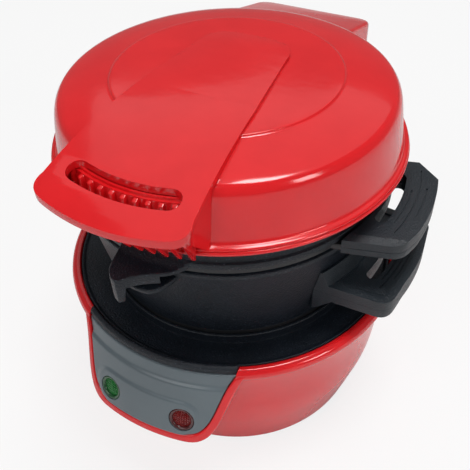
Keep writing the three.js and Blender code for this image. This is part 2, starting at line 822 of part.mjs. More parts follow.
// A tubular element: an open ring with both tails turned away from the plate
function makeElement(height, tailWay) {
  const circle = Array.from({ length: tubeFacets }, (_, i) => {
    const turn = (i / tubeFacets) * 2 * Math.PI;
    return [elementRadius + elementTubeRadius * Math.cos(turn), height + elementTubeRadius * Math.sin(turn)];
  });
  const reach = elementRadius + elementTubeRadius * 2;
  const gap = raised(
    roundedShape([
      [0, 0],
      ...arcPoints(reach * 1.5, 180 - elementGapAngle / 2, 180 + elementGapAngle / 2, 4),
    ]),
    height - elementTubeRadius * 2,
    height + elementTubeRadius * 2,
  );
  const tails = [-1, 1].map((side) => {
    const [x, y] = polar(elementRadius, 180 + side * (elementGapAngle / 2));
    return rod(
      elementTubeRadius,
      [x, y, height - tailWay * elementTubeRadius * 0.9],
      [x, y, height + tailWay * elementTailLength],
      holeFacets,
    );
  });
  return join(cut(turned(circle, innerFacets), gap), tails);
}

const lowerElementHeight = plateUnderside - fitGap - elementTubeRadius;
addPart('lower_heating_element', makeElement(lowerElementHeight, -1), steel);

// A disc thermostat with two blade terminals
function makeThermostat(face, way) {
  const back = face + way * thermostatHeight;
  const blades = [-1, 1].map((side) => {
    const x = side * thermostatRadius * 0.45;
    const ends = [back - way, back + way * bladeLength];
    return block(
      [x - bladeThickness / 2, -bladeWidth / 2, Math.min(...ends)],
      [x + bladeThickness / 2, bladeWidth / 2, Math.max(...ends)],
    );
  });
  return join(rod(thermostatRadius, [0, 0, face], [0, 0, back], smallFacets), blades);
}
addPart('lower_thermostat', makeThermostat(plateUnderside - fitGap, -1), ceramic);

const shieldRim = collarInner - trayFlangeWidth;
const shieldTop = trayFlangeTop - trayThickness - seatGap;
const shieldFloor = plateUnderside - shieldDepth;
addPart('lower_heat_shield', turned([
  [0, shieldFloor - shieldThickness],
  [shieldRim - shieldDepth * 0.3, shieldFloor - shieldThickness],
  [shieldRim + shieldThickness, shieldFloor + shieldDepth * 0.2],
  [shieldRim + shieldThickness, shieldTop - shieldThickness],
  [shieldRim + trayFlangeWidth * 0.8, shieldTop - shieldThickness],
  [shieldRim + trayFlangeWidth * 0.8, shieldTop],
  [shieldRim, shieldTop],
  [shieldRim, shieldFloor + shieldDepth * 0.2],
  [shieldRim - shieldDepth * 0.3, shieldFloor],
  [0, shieldFloor],
], innerFacets), steel);

addPart('terminal_block', block(
  [-terminalLength / 2, ventLength, coverTop + seatGap],
  [terminalLength / 2, ventLength + terminalWidth, coverTop + seatGap + terminalHeight],
), ceramic);

// Bushing where a supply cord would enter
addPart('cord_inlet_bushing', cut(
  join(
    rod(
      glandRadius,
      [0, pillarRear + seatGap / 2, glandHeight],
      [0, pillarRear + glandCollar, glandHeight],
      smallFacets,
    ),
    rod(
      glandRadius - baseWall / 2,
      [0, pillarRear - baseWall, glandHeight],
      [0, pillarRear + glandCollar / 2, glandHeight],
      smallFacets,
    ),
  ),
  rod(glandBore, [0, 0, glandHeight], [0, pillarRear * 2, glandHeight], smallFacets),
), rubber);

// Hinge tower and pin
const onPin = (radius, from, to) => rod(
  radius,
  [from, hingeReach, hingeHeight],
  [to, hingeReach, hingeHeight],
);
const pinBore = onPin(pinRadius + boreGap, -towerEarOuter * 2, towerEarOuter * 2);

function mirrored(make) {
  return [make(-1), make(1)];
}
const between = (side, inner, outer) => (side < 0 ? [-outer, -inner] : [inner, outer]);

const towerFoot = pillarTop + seatGap / 2;
const webTop = hingeHeight - towerWebDrop;
const towerEarShape = roundedShape([
  [towerFront, towerFoot],
  [towerBack, towerFoot],
  [hingeReach + knuckleRadius, hingeHeight],
  [hingeReach - knuckleRadius, hingeHeight],
  [hingeReach - knuckleRadius, hingeHeight - knuckleRadius],
  [towerFront, webTop],
]);
const webBack = mix(towerBack, hingeReach + knuckleRadius, 0.8);
const towerSide = (front, back, foot, top) => roundedShape([
  [front, foot],
  [back, foot],
  [back, top],
  [front, top],
]);
addPart('hinge_tower', cut(
  join(
    sideways(roundedShape([
      [towerFront, towerFoot],
      [towerBack, towerFoot],
      [webBack, webTop],
      [towerFront, webTop],
    ]), -towerHalfWidth, towerHalfWidth),
    sideways(
      towerSide(
        towerFront + tenonInset,
        towerBack - tenonInset,
        pillarTop - tenonLength,
        towerFoot + overrun,
      ),
      -towerHalfWidth + tenonInset, towerHalfWidth - tenonInset,
    ),
    mirrored((side) => sideways(towerEarShape, ...between(side, towerEarInner, towerEarOuter))),
    mirrored((side) => onPin(knuckleRadius, ...between(side, towerEarInner, towerEarOuter))),
  ),
  sideways(
    towerSide(
      towerFront + tenonInset + towerWall, webBack - towerWall - tenonInset,
      pillarTop - tenonLength - overrun, webTop - towerWall,
    ),
    -towerHalfWidth + towerWall + tenonInset, towerHalfWidth - towerWall - tenonInset,
  ),
  pinBore,
  towerScrewPlaces.map(([x, z]) => (
    rod(screwShaftRadius + boreGap, [x, towerBack - towerWall * 2, z], [x, pillarRear, z], holeFacets)
  )),
), blackMoulding);
towerScrewPlaces.forEach(([x, z], i) => {
  const headFoot = pillarRear - screwHeadThickness;
  addPart(`tower_screw_${i + 1}`, join(
    rod(screwHeadRadius, [x, headFoot, z], [x, pillarRear, z], holeFacets),
    rod(screwShaftRadius, [x, headFoot - towerScrewLength, z], [x, pillarRear - seatGap, z], holeFacets),
  ), steel);
});

addPart('hinge_pin', join(
  onPin(pinRadius, -towerEarOuter - pinHeadThickness, towerEarOuter + pinHeadThickness),
  mirrored((side) => onPin(
    pinHeadRadius,
    ...between(side, towerEarOuter + seatGap, towerEarOuter + pinHeadThickness),
  )),
), steel);

// Bottom ring: a tapered cup wall with a mouth band, a small front tab, hinge arms and handle tongues
const wallRadius = (height) => mix(
  bottomRingFootRadius,
  mouthRadius - mouthStep,
  (height - bottomRingFoot) / (bottomRingHeight - mouthBandHeight),
);
const handlePart = bottomRingMouth - ringHandleDrop;

function tongues(inner, low, high, start, end, hole) {
  const centres = [start, end];
  return centres.map((angle) => cut(
    raised(
      sector(
        inner,
        handleInner + tongueLength - plateInset,
        angle - tongueAngle / 2,
        angle + tongueAngle / 2,
        2,
      ),
      low,
      high,
    ),
    rod(
      handleScrewRadius + boreGap,
      [...polar(hole, angle), low - overrun],
      [...polar(hole, angle), high + overrun],
      holeFacets,
    ),
  ));
}

const plateEnds = [plateHandleStart - plateEndSplay, plateHandleEnd + plateEndSplay];
const ringEnds = [ringHandleStart - ringEndSplay, ringHandleEnd + ringEndSplay];
const armCentres = ([start, end], arm) => [start + arm / 2, end - arm / 2];
const plateArmCentres = armCentres(plateEnds, plateArmAngle);
const ringArmCentres = armCentres(ringEnds, ringArmAngle);
const handleScrewCircle = handleInner + plateSlotInset + slotWidth * 0.4;

function makeBottomRing() {
  const bandFoot = bottomRingMouth - mouthBandHeight;
  const bore = (height) => wallRadius(height) - ringWall;
  const wall = turned([
    [bottomRingFootRadius, bottomRingFoot],
    [bottomRingFootRadius + ringWall * 0.15, bottomRingFoot + ringWall * 0.4],
    [wallRadius(bandFoot), bandFoot],
    [mouthRadius, bandFoot + mouthStep],
    [mouthRadius, bottomRingMouth - mouthStep / 2],
    [mouthRadius - mouthStep / 2, bottomRingMouth],
    [bore(bottomRingMouth), bottomRingMouth],
    [bore(bottomRingFoot), bottomRingFoot],
  ], shellFacets);
  const crescentTop = bottomRingMouth - crescentDrop;
  const crescentRound = crescentHalfWidth * crescentRoundShare;
  const crescent = raised(roundedShape([
    [-crescentHalfWidth, -mouthRadius + ringWall],
    [-crescentHalfWidth, -mouthRadius, crescentRound],
    [-crescentHalfWidth * crescentTipShare, -mouthRadius - crescentReach, crescentRound],
    [crescentHalfWidth * crescentTipShare, -mouthRadius - crescentReach, crescentRound],
    [crescentHalfWidth, -mouthRadius, crescentRound],
    [crescentHalfWidth, -mouthRadius + ringWall],
  ]), crescentTop - crescentThickness, crescentTop);
  const armShape = roundedShape([
    [mouthRadius - ringWall, bandFoot - knuckleRadius],
    [mouthRadius + knuckleRadius, bandFoot - knuckleRadius],
    [hingeReach + knuckleRadius * 0.6, hingeHeight - knuckleRadius * 0.8],
    [hingeReach - knuckleRadius * 0.7, hingeHeight + knuckleRadius * 0.7],
    [mouthRadius + mouthStep * 3, bottomRingMouth - mouthStep],
    [mouthRadius - ringWall, bottomRingMouth - mouthStep],
  ]);
  const arms = mirrored((side) => join(
    sideways(armShape, ...between(side, armInner, armOuter)),
    onPin(knuckleRadius, ...between(side, armInner, armOuter)),
  ));
  const grips = tongues(
    wallRadius(handlePart) - ringWall / 2,
    handlePart - tongueThickness / 2,
    handlePart + tongueThickness / 2,
    ...ringArmCentres,
    handleScrewCircle,
  );
  const bowl = turned([
    [0, bottomRingFoot - overrun],
    [bore(bottomRingFoot - overrun), bottomRingFoot - overrun],
    [bore(bottomRingMouth + overrun), bottomRingMouth + overrun],
    [0, bottomRingMouth + overrun],
  ], shellFacets);
  return cut(join(wall, cut(join(crescent, arms, grips), bowl)), pinBore);
}
addPart('bottom_ring', makeBottomRing(), blackCoating);

// Top ring: an egg ring with a scooped lift tab in front, a lug for the plate's pin and a hinge knuckle
const [pivotX, pivotY] = polar(pivotRadius, pivotAngle);
const onPivot = (radius, low, high) => rod(radius, [pivotX, pivotY, low], [pivotX, pivotY, high]);
const flangeTop = topRingFoot + topFlangeHeight;

// The lift tab's scoop: shares of its reach beyond the ring, and of its drop from the flange
const tabTopShares = [[0.12, 0.03], [0.48, 0.13], [0.72, 0.35], [0.9, 0.66], [1, 1]];
const tabFootShares = [[0.84, 1], [0.74, 0.72], [0.62, 0.5], [0.52, 0.4]];
// Its flanks: shares of their width, and of its reach beyond the ring
const tabRightShares = [[0.72, 0.22], [0.4, 0.58]];
const tabLeftShares = [[0.94, 0.24], [0.66, 0.62]];

function tabPlan() {
  const flank = (width, shares, side) => [
    [side * width, -topRingNeck],
    ...shares.map(([across, along]) => [side * width * across, -topRingRadius - tabReach * along]),
    [side * tabTipHalfWidth, -topRingRadius - tabReach],
  ];
  const outline = [
    ...flank(tabRightWidth, tabRightShares, 1),
    ...flank(tabLeftWidth, tabLeftShares, -1).reverse(),
  ];
  return roundedShape(outline.map(([x, y]) => {
    const point = new THREE.Vector2(x, y).rotateAround(new THREE.Vector2(), radians(tabAngle));
    return [point.x, point.y];
  }));
}

function makeTopRing() {
  const bore = topRingBore + topRingTaper * 0.5;
  const wall = turned([
    [bore, topRingFoot],
    [topRingRadius, topRingFoot],
    [topRingRadius, flangeTop - mouthStep],
    [topRingRadius - mouthStep, flangeTop],
    [topRingNeck, topRingMouth],
    [topRingBore, topRingMouth],
  ], shellFacets);
  const tabPoint = ([along, down]) => [topRingRadius + tabReach * along, flangeTop - tabDrop * down];
  const tabTop = tabTopShares.map(tabPoint);
  const tabFoot = tabFootShares.map(tabPoint);
  const tabBand = turned([
    [topRingNeck, flangeTop],
    ...tabTop,
    ...tabFoot,
    [tabFoot.at(-1)[0], topRingFoot],
    [topRingNeck, topRingFoot],
  ], shellFacets);
  const tab = common(tabBand, raised(tabPlan(), 0, topRingMouth));
  const lug = onPivot(lugRadius, topRingFoot, topRingFoot + lugHeight);
  const knuckleShape = roundedShape([
    [topRingNeck - ringWall, topRingFoot + mouthStep],
    [hingeReach, hingeHeight - knuckleRadius * 0.45],
    [hingeReach, hingeHeight + knuckleRadius],
    [topRingNeck - ringWall, hingeHeight + knuckleRadius],
  ]);
  const knuckle = join(
    sideways(knuckleShape, -ringKnuckleHalf, ringKnuckleHalf),
    onPin(knuckleRadius, -ringKnuckleHalf, ringKnuckleHalf),
  );
  const hole = turned([
    [0, topRingFoot - overrun],
    [bore, topRingFoot - overrun],
    [bore, topRingFoot],
    [topRingBore, topRingMouth],
    [topRingBore, topRingMouth + overrun],
    [0, topRingMouth + overrun],
  ], shellFacets);
  const pinHole = onPivot(pivotPinRadius + boreGap, 0, crownTop);
  return cut(join(wall, cut(join(tab, lug, knuckle), hole)), pinBore, pinHole);
}
addPart('top_ring', makeTopRing(), blackCoating);

const pivotPinFoot = cookingPlateFoot - fitGap - pivotHeadThickness;
const pivotPinTop = topRingFoot + lugHeight + fitGap + pivotHeadThickness;
addPart('plate_pivot_pin', join(
  onPivot(pivotPinRadius, pivotPinFoot, pivotPinTop),
  onPivot(pivotHeadRadius, pivotPinFoot, pivotPinFoot + pivotHeadThickness),
  onPivot(pivotHeadRadius, pivotPinTop - pivotHeadThickness, pivotPinTop),
), steel);

// Cooking plate: a shallow disc with a pivot lug and two tongues for its handle
function makeCookingPlate() {
  const disc = turned([
    [0, cookingPlateFoot],
    [cookingPlateRadius, cookingPlateFoot],
    [cookingPlateRadius, cookingPlateTop],
    [topRingBore, cookingPlateTop],
    [topRingBore - plateDish * 2, cookingPlateTop - plateDish],
    [0, cookingPlateTop - plateDish],
  ], plateFacets);
  const lug = onPivot(lugRadius, cookingPlateFoot, cookingPlateTop);
  const neckAngle = degreesOf(lugRadius, pivotRadius);
  const neck = raised(
    sector(topRingBore, pivotRadius, pivotAngle - neckAngle, pivotAngle + neckAngle, 4),
    cookingPlateFoot,
    cookingPlateTop,
  );
  const grips = tongues(
    topRingBore,
    cookingPlateFoot,
    cookingPlateTop,
    ...plateArmCentres,
    handleScrewCircle,
  );
  const pinHole = onPivot(pivotPinRadius + boreGap, 0, crownTop);
  return cut(join(disc, lug, cut(neck, pinHole), grips), pinHole);
}
addPart('cooking_plate', makeCookingPlate(), castPlate);

// Side handles: two moulded halves clamp the metal tongues with two screws
function handleHalves({ name, part, upper, lower, plan, slot, holes, pockets, extras = [], cuts = [] }) {
  const onArms = (radius, low, high) => holes.map((angle) => (
    rod(
      radius,
      [...polar(handleScrewCircle, angle), low],
      [...polar(handleScrewCircle, angle), high],
      holeFacets,
    )
  ));
  const lowerTop = part - seatGap / 2;
  const slotCut = raised(slot, part - lower - overrun, part + upper + overrun);
  const headTop = part - lower + handleScrewHead / 2;
  const screwTop = part + upper * handleScrewShare;
  const moulding = (low, high, solids) => common(
    join(raised(plan, part - lower, part + upper), solids),
    block([0, -handleRadius, low], [handleRadius * 2, handleRadius, high]),
  );
  const deepest = part - lower - blockFall;
  addPart(`${name}_upper`, cut(
    moulding(part, part + upper + blockRise, extras),
    slotCut, pockets, cuts, onArms(handleScrewRadius + boreGap, part - overrun, screwTop + seatGap),
  ), blackMoulding);
  addPart(`${name}_lower`, cut(
    moulding(deepest, lowerTop, extras),
    slotCut, pockets, cuts,
    onArms(handleScrewRadius + boreGap, deepest, part + overrun),
    onArms(handleScrewHead + boreGap, deepest, headTop + seatGap),
  ), blackMoulding);
  holes.forEach((angle, i) => {
    const [x, y] = polar(handleScrewCircle, angle);
    addPart(`${name}_screw_${i + 1}`, join(
      rod(handleScrewHead, [x, y, part - lower + seatGap], [x, y, headTop], holeFacets),
      rod(handleScrewRadius, [x, y, headTop - seatGap], [x, y, screwTop], holeFacets),
    ), steel);
  });
}

const pocketTongues = (inner, low, high, centres) => centres.map((angle) => raised(
  sector(
    inner, handleInner + tongueLength - plateInset + fitGap,
    angle - tongueAngle / 2 - fitGap, angle + tongueAngle / 2 + fitGap, 2,
  ), low - fitGap, high + fitGap,
));

const platePart = (cookingPlateFoot + cookingPlateTop) / 2;
const plateSlotInner = handleInner + plateSlotInset;
handleHalves({
  name: 'plate_handle',
  part: platePart,
  upper: plateHandleUpper,
  lower: plateHandleLower,
  plan: handleOutline({
    inner: handleInner,
    outer: handleRadius,
    from: plateHandleStart,
    to: plateHandleEnd,
    splay: plateEndSplay,
    chamfered: true,
  }),
  slot: arcSlot(
    plateSlotInner, plateSlotInner + slotWidth, plateEnds[0] + plateArmAngle, plateEnds[1] - plateArmAngle,
  ),
  holes: plateArmCentres,
  pockets: pocketTongues(topRingBore, cookingPlateFoot, cookingPlateTop, plateArmCentres),
});

// The ring's handle meets the ring in two blocks that run out to the grip's own thickness
const ringSlotInner = handleInner + ringSlotInset;
const blockProfile = turned([
  [bottomRingBore, handlePart - blockFall],
  [wallRadius(handlePart - blockFall) + blockFootReach, handlePart - blockFall],
  [handleInner + blockReach, handlePart - ringHandleLower],
  [handleInner + blockReach, handlePart + ringHandleUpper],
  [wallRadius(handlePart + blockRise) + blockTopReach, handlePart + blockRise],
  [bottomRingBore, handlePart + blockRise],
], shellFacets);
const blocks = [
  [ringEnds[0] - blockAngle + blockOverlapAngle, ringEnds[0] + blockOverlapAngle],
  [ringEnds[1] - blockOverlapAngle, ringEnds[1] + blockAngle - blockOverlapAngle],
].map(([from, to]) => common(
  blockProfile,
  raised(
    sector(bottomRingBore / 2, handleInner + blockReach * 2, from, to, 2),
    handlePart - blockFall,
    handlePart + blockRise,
  ),
));
const arms = [
  [ringEnds[0], ringEnds[0] + ringArmAngle],
  [ringEnds[1] - ringArmAngle, ringEnds[1]],
].map(([from, to]) => raised(
  sector(bottomRingBore, handleInner + blockReach / 2, from, to, 4),
  handlePart - ringHandleLower,
  handlePart + ringHandleUpper,
));
const ringClearance = turned([
  [0, bottomRingFoot - overrun],
  [wallRadius(bottomRingFoot) + fitGap, bottomRingFoot - overrun],
  [wallRadius(bottomRingFoot) + fitGap, bottomRingFoot],
  [wallRadius(bottomRingMouth) + fitGap, bottomRingMouth],
  [0, bottomRingMouth],
], shellFacets);
const gripRecess = raised(handleOutline({
  inner: ringSlotInner + slotWidth + borderWidth / 2,
  outer: handleRadius - borderWidth,
  from: ringHandleStart + degreesOf(borderWidth, handleRadius),
  to: ringHandleEnd - degreesOf(borderWidth, handleRadius),
  splay: 0,
}), handlePart + ringHandleUpper - borderDepth, handlePart + ringHandleUpper + overrun);
handleHalves({
  name: 'ring_handle',
  part: handlePart,
  upper: ringHandleUpper,
  lower: ringHandleLower,
  plan: handleOutline({
    inner: handleInner,
    outer: handleRadius,
    from: ringHandleStart,
    to: ringHandleEnd,
    splay: ringEndSplay,
  }),
  slot: arcSlot(
    ringSlotInner, ringSlotInner + slotWidth, ringEnds[0] + ringArmAngle, ringEnds[1] - ringArmAngle,
  ),
  holes: ringArmCentres,
  pockets: pocketTongues(
    bottomRingBore, handlePart - tongueThickness / 2, handlePart + tongueThickness / 2, ringArmCentres,
  ),
  extras: [...blocks, ...arms],
  cuts: [ringClearance, gripRecess],
});

// Lid: its outer outline in shares of its radius and height, from the flange to the crown
const lidBeadShares = [[1, 0], [1.006, 0.04], [0.99, 0.1]];
const lidWallShares = [[0.965, 0.18], [0.93, 0.66]];
const lidDomeShares = [[0.914, 0.765], [0.88, 0.83], [0.63, 0.952], [0.612, 0.982], [0, 1]];
const lidShares = [...lidBeadShares, ...lidWallShares, ...lidDomeShares];
const lidPoints = lidShares.map(([across, up]) => (
  new THREE.Vector2(across * lidRadius, flangeFoot + up * lidHeight)
));

// The same outline moved out by a distance, or in by a negative one
function lidOutline(out) {
  return lidPoints.map((point, i) => {
    const atCrown = i === lidPoints.length - 1;
    const before = lidPoints[Math.max(i - 1, 0)];
    const after = atCrown ? point : lidPoints[i + 1];
    const along = after.clone().sub(before).normalize();
    if (atCrown) return [0, point.y + out];
    return [point.x + along.y * out, Math.max(point.y - along.x * out, flangeFoot)];
  });
}
const lidOuter = lidOutline(0);
const lidInner = lidOutline(-lidWall).slice(lidBeadShares.length);
const lidMouth = lidInner[0][0];
const lidSolid = turned([...lidOuter, [0, flangeFoot]].reverse(), shellFacets);
const lidGrown = turned([
  ...lidOutline(fitGap),
  [0, flangeFoot - overrun],
  [lidRadius + fitGap, flangeFoot - overrun],
], shellFacets);
const linerTop = linerFoot + linerThickness;
const wallShareAt = (height) => {
  const up = (height - flangeFoot) / lidHeight;
  const [low, high] = lidWallShares;
  return mix(low[0], high[0], (up - low[1]) / (high[1] - low[1]));
};
const linerRadius = wallShareAt(linerTop) * lidRadius - lidWall - fitGap;
const postCircle = linerRadius - postRadius - fitGap;

// Two screws hold the hinge bracket to the lid's wall
const bracketScrewHeight = linerTop + fitGap * 2 + handleScrewHead;
const bracketScrews = [-1, 1].map((side) => side * (lidEarInner + lidEarThickness / 2));
const lidWallReach = lidRadius * wallShareAt(bracketScrewHeight);

addPart('lid_shell', (() => {
  const shell = turned([...lidOuter, ...lidInner.slice().reverse(), [lidMouth, flangeFoot]], shellFacets);
  const onPost = (radius, low, high) => postAngles.map((angle) => (
    rod(radius, [...polar(postCircle, angle), low], [...polar(postCircle, angle), high], holeFacets)
  ));
  const posts = onPost(postRadius, linerTop + seatGap / 2, crownTop);
  const pilots = onPost(screwShaftRadius + boreGap, linerFoot, linerTop + screwLength - overrun);
  const bracketHoles = bracketScrews.map((x) => (
    rod(
      handleScrewRadius + boreGap,
      [x, 0, bracketScrewHeight],
      [x, lidRadius, bracketScrewHeight],
      holeFacets,
    )
  ));
  return cut(join(shell, common(join(posts), lidSolid)), pilots, bracketHoles);
})(), redGloss);

// Liner, screws, upper heating plate, element, thermostat and cap, all inside the lid
addPart('lid_liner', cut(
  turned([
    [upperPlateRadius + fitGap, linerFoot],
    [linerRadius, linerFoot],
    [linerRadius, linerTop],
    [upperPlateRadius + fitGap, linerTop],
  ], plateFacets),
  postAngles.map((angle) => {
    const [x, y] = polar(postCircle, angle);
    const headTop = linerFoot + screwHeadThickness + seatGap / 2;
    return join(
      rod(screwShaftRadius + fitGap, [x, y, 0], [x, y, crownTop], holeFacets),
      rod(screwHeadRadius + fitGap, [x, y, 0], [x, y, headTop], holeFacets),
    );
  }),
), blackMoulding);
postAngles.forEach((angle, i) => {
  const [x, y] = polar(postCircle, angle);
  addPart(`liner_screw_${i + 1}`, join(
    rod(screwHeadRadius, [x, y, linerFoot + seatGap / 2], [x, y, linerFoot + screwHeadThickness], holeFacets),
    rod(
      screwShaftRadius,
      [x, y, linerFoot + seatGap],
      [x, y, linerTop + screwLength - overrun * 2],
      holeFacets,
    ),
  ), steel);
});

const upperFlangeFoot = linerTop + seatGap;
const upperFlangeTop = upperFlangeFoot + upperFlangeThickness;
addPart('upper_heating_plate', turned([
  [0, upperPlateFoot],
  [upperPlateRadius * 0.94, upperPlateFoot],
  [upperPlateRadius * 0.985, upperPlateFoot + upperPlateWall * 0.4],
  [upperPlateRadius, linerFoot],
  [upperPlateRadius, upperFlangeFoot],
  [upperPlateRadius + upperFlangeWidth, upperFlangeFoot],
  [upperPlateRadius + upperFlangeWidth, upperFlangeTop],
  [upperPlateRadius - upperPlateWall, upperFlangeTop],
  [upperPlateRadius - upperPlateWall * 1.4, upperPlateFoot + upperPlateWall],
  [0, upperPlateFoot + upperPlateWall],
], plateFacets), castPlate);
const upperBack = upperPlateFoot + upperPlateWall;
addPart('upper_heating_element', makeElement(upperBack + fitGap + elementTubeRadius, 1), steel);
addPart('upper_thermostat', makeThermostat(upperBack + fitGap, 1), ceramic);
const capFoot = upperFlangeTop + seatGap;
addPart('upper_heat_cap', turned([
  [upperPlateRadius - upperPlateWall, capFoot],
  [upperPlateRadius + upperFlangeWidth, capFoot],
  [upperPlateRadius + upperFlangeWidth, capFoot + capThickness],
  [upperPlateRadius - upperPlateWall * 0.4, capFoot + capThickness],
  [upperPlateRadius * 0.8, capFoot + capRise + capThickness],
  [0, capFoot + capRise + capThickness],
  [0, capFoot + capRise],
  [upperPlateRadius * 0.78, capFoot + capRise],
], innerFacets), steel);

// Lid handle: a strap over the dome that widens into the grip, with a gusset down each side
const tipRadius = lidRadius + handleTipReach;
const strapRear = lidRadius * strapRearShare;
const tipAngle = THREE.MathUtils.radToDeg(Math.asin(handleTipHalfWidth / tipRadius));
const strapFall = handleTipDrop + strapTopRise;
const strapFallPower = 2.8;
const strapHeight = (y) => {
  const share = Math.max(0, (strapFallStart - y) / (strapFallStart + tipRadius));
  return crownTop + strapTopRise - strapFall * share ** strapFallPower;
};
const strapRoundShare = 0.7; // rounded rear end, of its half width

function strapOutline(inset) {
  const outer = tipRadius - inset;
  const angle = tipAngle - degreesOf(inset, tipRadius);
  const edge = degreesOf(tipCorner, tipRadius);
  const rear = strapRear - inset;
  const rearHalf = strapRearHalfWidth - inset;
  const rearSide = rear - strapRearHalfWidth * strapRoundShare;
  const waistHalf = mix(strapRearHalfWidth, handleTipHalfWidth, strapWaistShare) - inset;
  const shape = new THREE.Shape();
  shape.moveTo(-rearHalf, rearSide);
  shape.lineTo(-waistHalf, -strapRear);
  shape.lineTo(...polar(outer - tipCorner, -angle));
  shape.quadraticCurveTo(...polar(outer, -angle), ...polar(outer, edge - angle));
  const outerArc = arcPoints(outer, edge - angle, angle - edge, smallFacets / 2);
  outerArc.slice(1).forEach((point) => shape.lineTo(...point));
  shape.quadraticCurveTo(...polar(outer, angle), ...polar(outer - tipCorner, angle));
  shape.lineTo(waistHalf, -strapRear);
  shape.lineTo(rearHalf, rearSide);
  shape.bezierCurveTo(rearHalf, rear, rearHalf / 2, rear, 0, rear);
  shape.bezierCurveTo(-rearHalf / 2, rear, -rearHalf, rear, -rearHalf, rearSide);
  return shape;
}

const slotInnerRadius = lidRadius - lidSlotInset;
const slotOuterRadius = slotInnerRadius + lidSlotWidth;
const gussetFoot = flangeFoot + seatGap * 2;
const gussetRear = -topRingNeck * gussetRearShare;
const gussetFront = -Math.sqrt(lidRadius ** 2 - handleTipHalfWidth ** 2); // where it reaches the flange

function makeLidHandle() {
  const overall = raised(strapOutline(0), 0, crownTop * 2);
  const line = Array.from({ length: smallFacets + 1 }, (_, i) => {
    const y = mix(strapRear + overrun, -tipRadius - overrun, i / smallFacets);
    return [y, strapHeight(y)];
  });
  const strap = common(overall, sideways(roundedShape([
    ...line,
    ...line.slice().reverse().map(([y, z]) => [y, z - strapThickness]),
  ]), -lidRadius, lidRadius));
  const sideStart = -tipRadius + tipCorner + skirtInset;
  const under = (y, drop) => [y, strapHeight(y) - drop];
  const sideShape = sideways(roundedShape([
    [gussetRear, gussetFoot],
    [gussetFront, gussetFoot],
    under(sideStart, skirtDepth),
    under(-tipRadius - overrun, skirtDepth),
    under(-tipRadius - overrun, strapThickness / 2),
    under(sideStart, strapThickness / 2),
    under(gussetFront, strapThickness / 2),
    under(gussetRear, strapThickness / 2),
  ]), -lidRadius, lidRadius);
  const skirt = cut(
    common(raised(strapOutline(skirtInset), 0, crownTop * 2), sideShape),
    raised(strapOutline(skirtInset + skirtWall), 0, crownTop * 2),
  );
  const slot = raised(
    arcSlot(slotInnerRadius, slotOuterRadius, -slotHalfAngle, slotHalfAngle),
    0,
    crownTop * 2,
  );
  return cut(join(strap, skirt), lidGrown, slot);
}
addPart('lid_handle', makeLidHandle(), redGloss);

// Heat grille under the handle: radial ribs on a curved wall, with their teeth below the skirt
function makeComb() {
  const [wallShare, footShare] = lidWallShares[0];
  const wallInner = lidRadius * wallShare + fitGap;
  const wallFoot = flangeFoot + lidHeight * footShare + fitGap;
  const ribEnd = tipRadius - skirtInset - skirtWall - fitGap * 2;
  const wallTop = strapHeight(-wallInner) - ribDrop;
  const wall = raised(
    sector(wallInner, wallInner + combWall, -ribHalfAngle, ribHalfAngle, smallFacets / 2),
    wallFoot,
    wallTop,
  );
  const under = (radius, drop) => [-radius, strapHeight(-radius) - drop];
  const ribShape = roundedShape([
    [-wallInner, wallFoot],
    [-wallInner - combWall, wallFoot],
    [...under(ribEnd, skirtDepth + ribOverhang), ribThickness],
    under(ribEnd, strapThickness + fitGap * 2),
    under(slotOuterRadius + fitGap * 2, strapThickness + fitGap * 2),
    under(slotOuterRadius, ribDrop),
    [-wallInner, wallTop],
  ]);
  const ribs = Array.from({ length: ribCount }, (_, i) => {
    const angle = mix(-ribHalfAngle, ribHalfAngle, i / (ribCount - 1));
    return sideways(ribShape, -ribThickness / 2, ribThickness / 2).rotate([0, 0, angle]);
  });
  return join(wall, ribs);
}
addPart('handle_grille', makeComb(), redGloss);

// Rear cover over the hinge, and the bracket that carries the lid on the pin
const coverRear = hingeReach + coverOverhang;
const coverLidEdge = topRingNeck;
const coverTopAt = (y) => mix(
  crownTop - coverTopDrop,
  crownTop - coverTopDrop - coverFall,
  (y - coverLidEdge) / (coverRear - coverLidEdge),
);
const coverPlan = (inset) => roundedShape([
  [-coverHalfWidth + inset, 0],
  [coverHalfWidth - inset, 0],
  [coverHalfWidth - inset, coverRear - inset, coverCorner],
  [-coverHalfWidth + inset, coverRear - inset, coverCorner],
]);
const coverSide = (drop, foot) => sideways(roundedShape([
  [coverLidEdge - coverWall, foot],
  [lidRadius, foot],
  [coverRear + overrun, coverTopAt(coverRear) - coverSkirt],
  [coverRear + overrun, coverTopAt(coverRear + overrun) - drop],
  [coverLidEdge - coverWall, coverTopAt(coverLidEdge - coverWall) - drop],
]), -lidRadius, lidRadius);
const bracketTop = coverTopAt(hingeReach + knuckleRadius * 1.4) - coverWall - seatGap;
const bracketFoot = bracketTop - lidEarThickness;

addPart('rear_cover', (() => {
  const outer = common(raised(coverPlan(0), 0, crownTop), coverSide(0, flangeFoot + seatGap));
  const inner = common(
    raised(coverPlan(coverWall), 0, crownTop),
    sideways(roundedShape([
      [0, 0],
      [coverRear, 0],
      [coverRear, coverTopAt(coverRear) - coverWall],
      [0, coverTopAt(0) - coverWall],
    ]), -lidRadius, lidRadius),
  );
  return cut(outer, inner, lidGrown);
})(), redGloss);

const flangeReach = lidWallReach + bracketFlangeThickness;

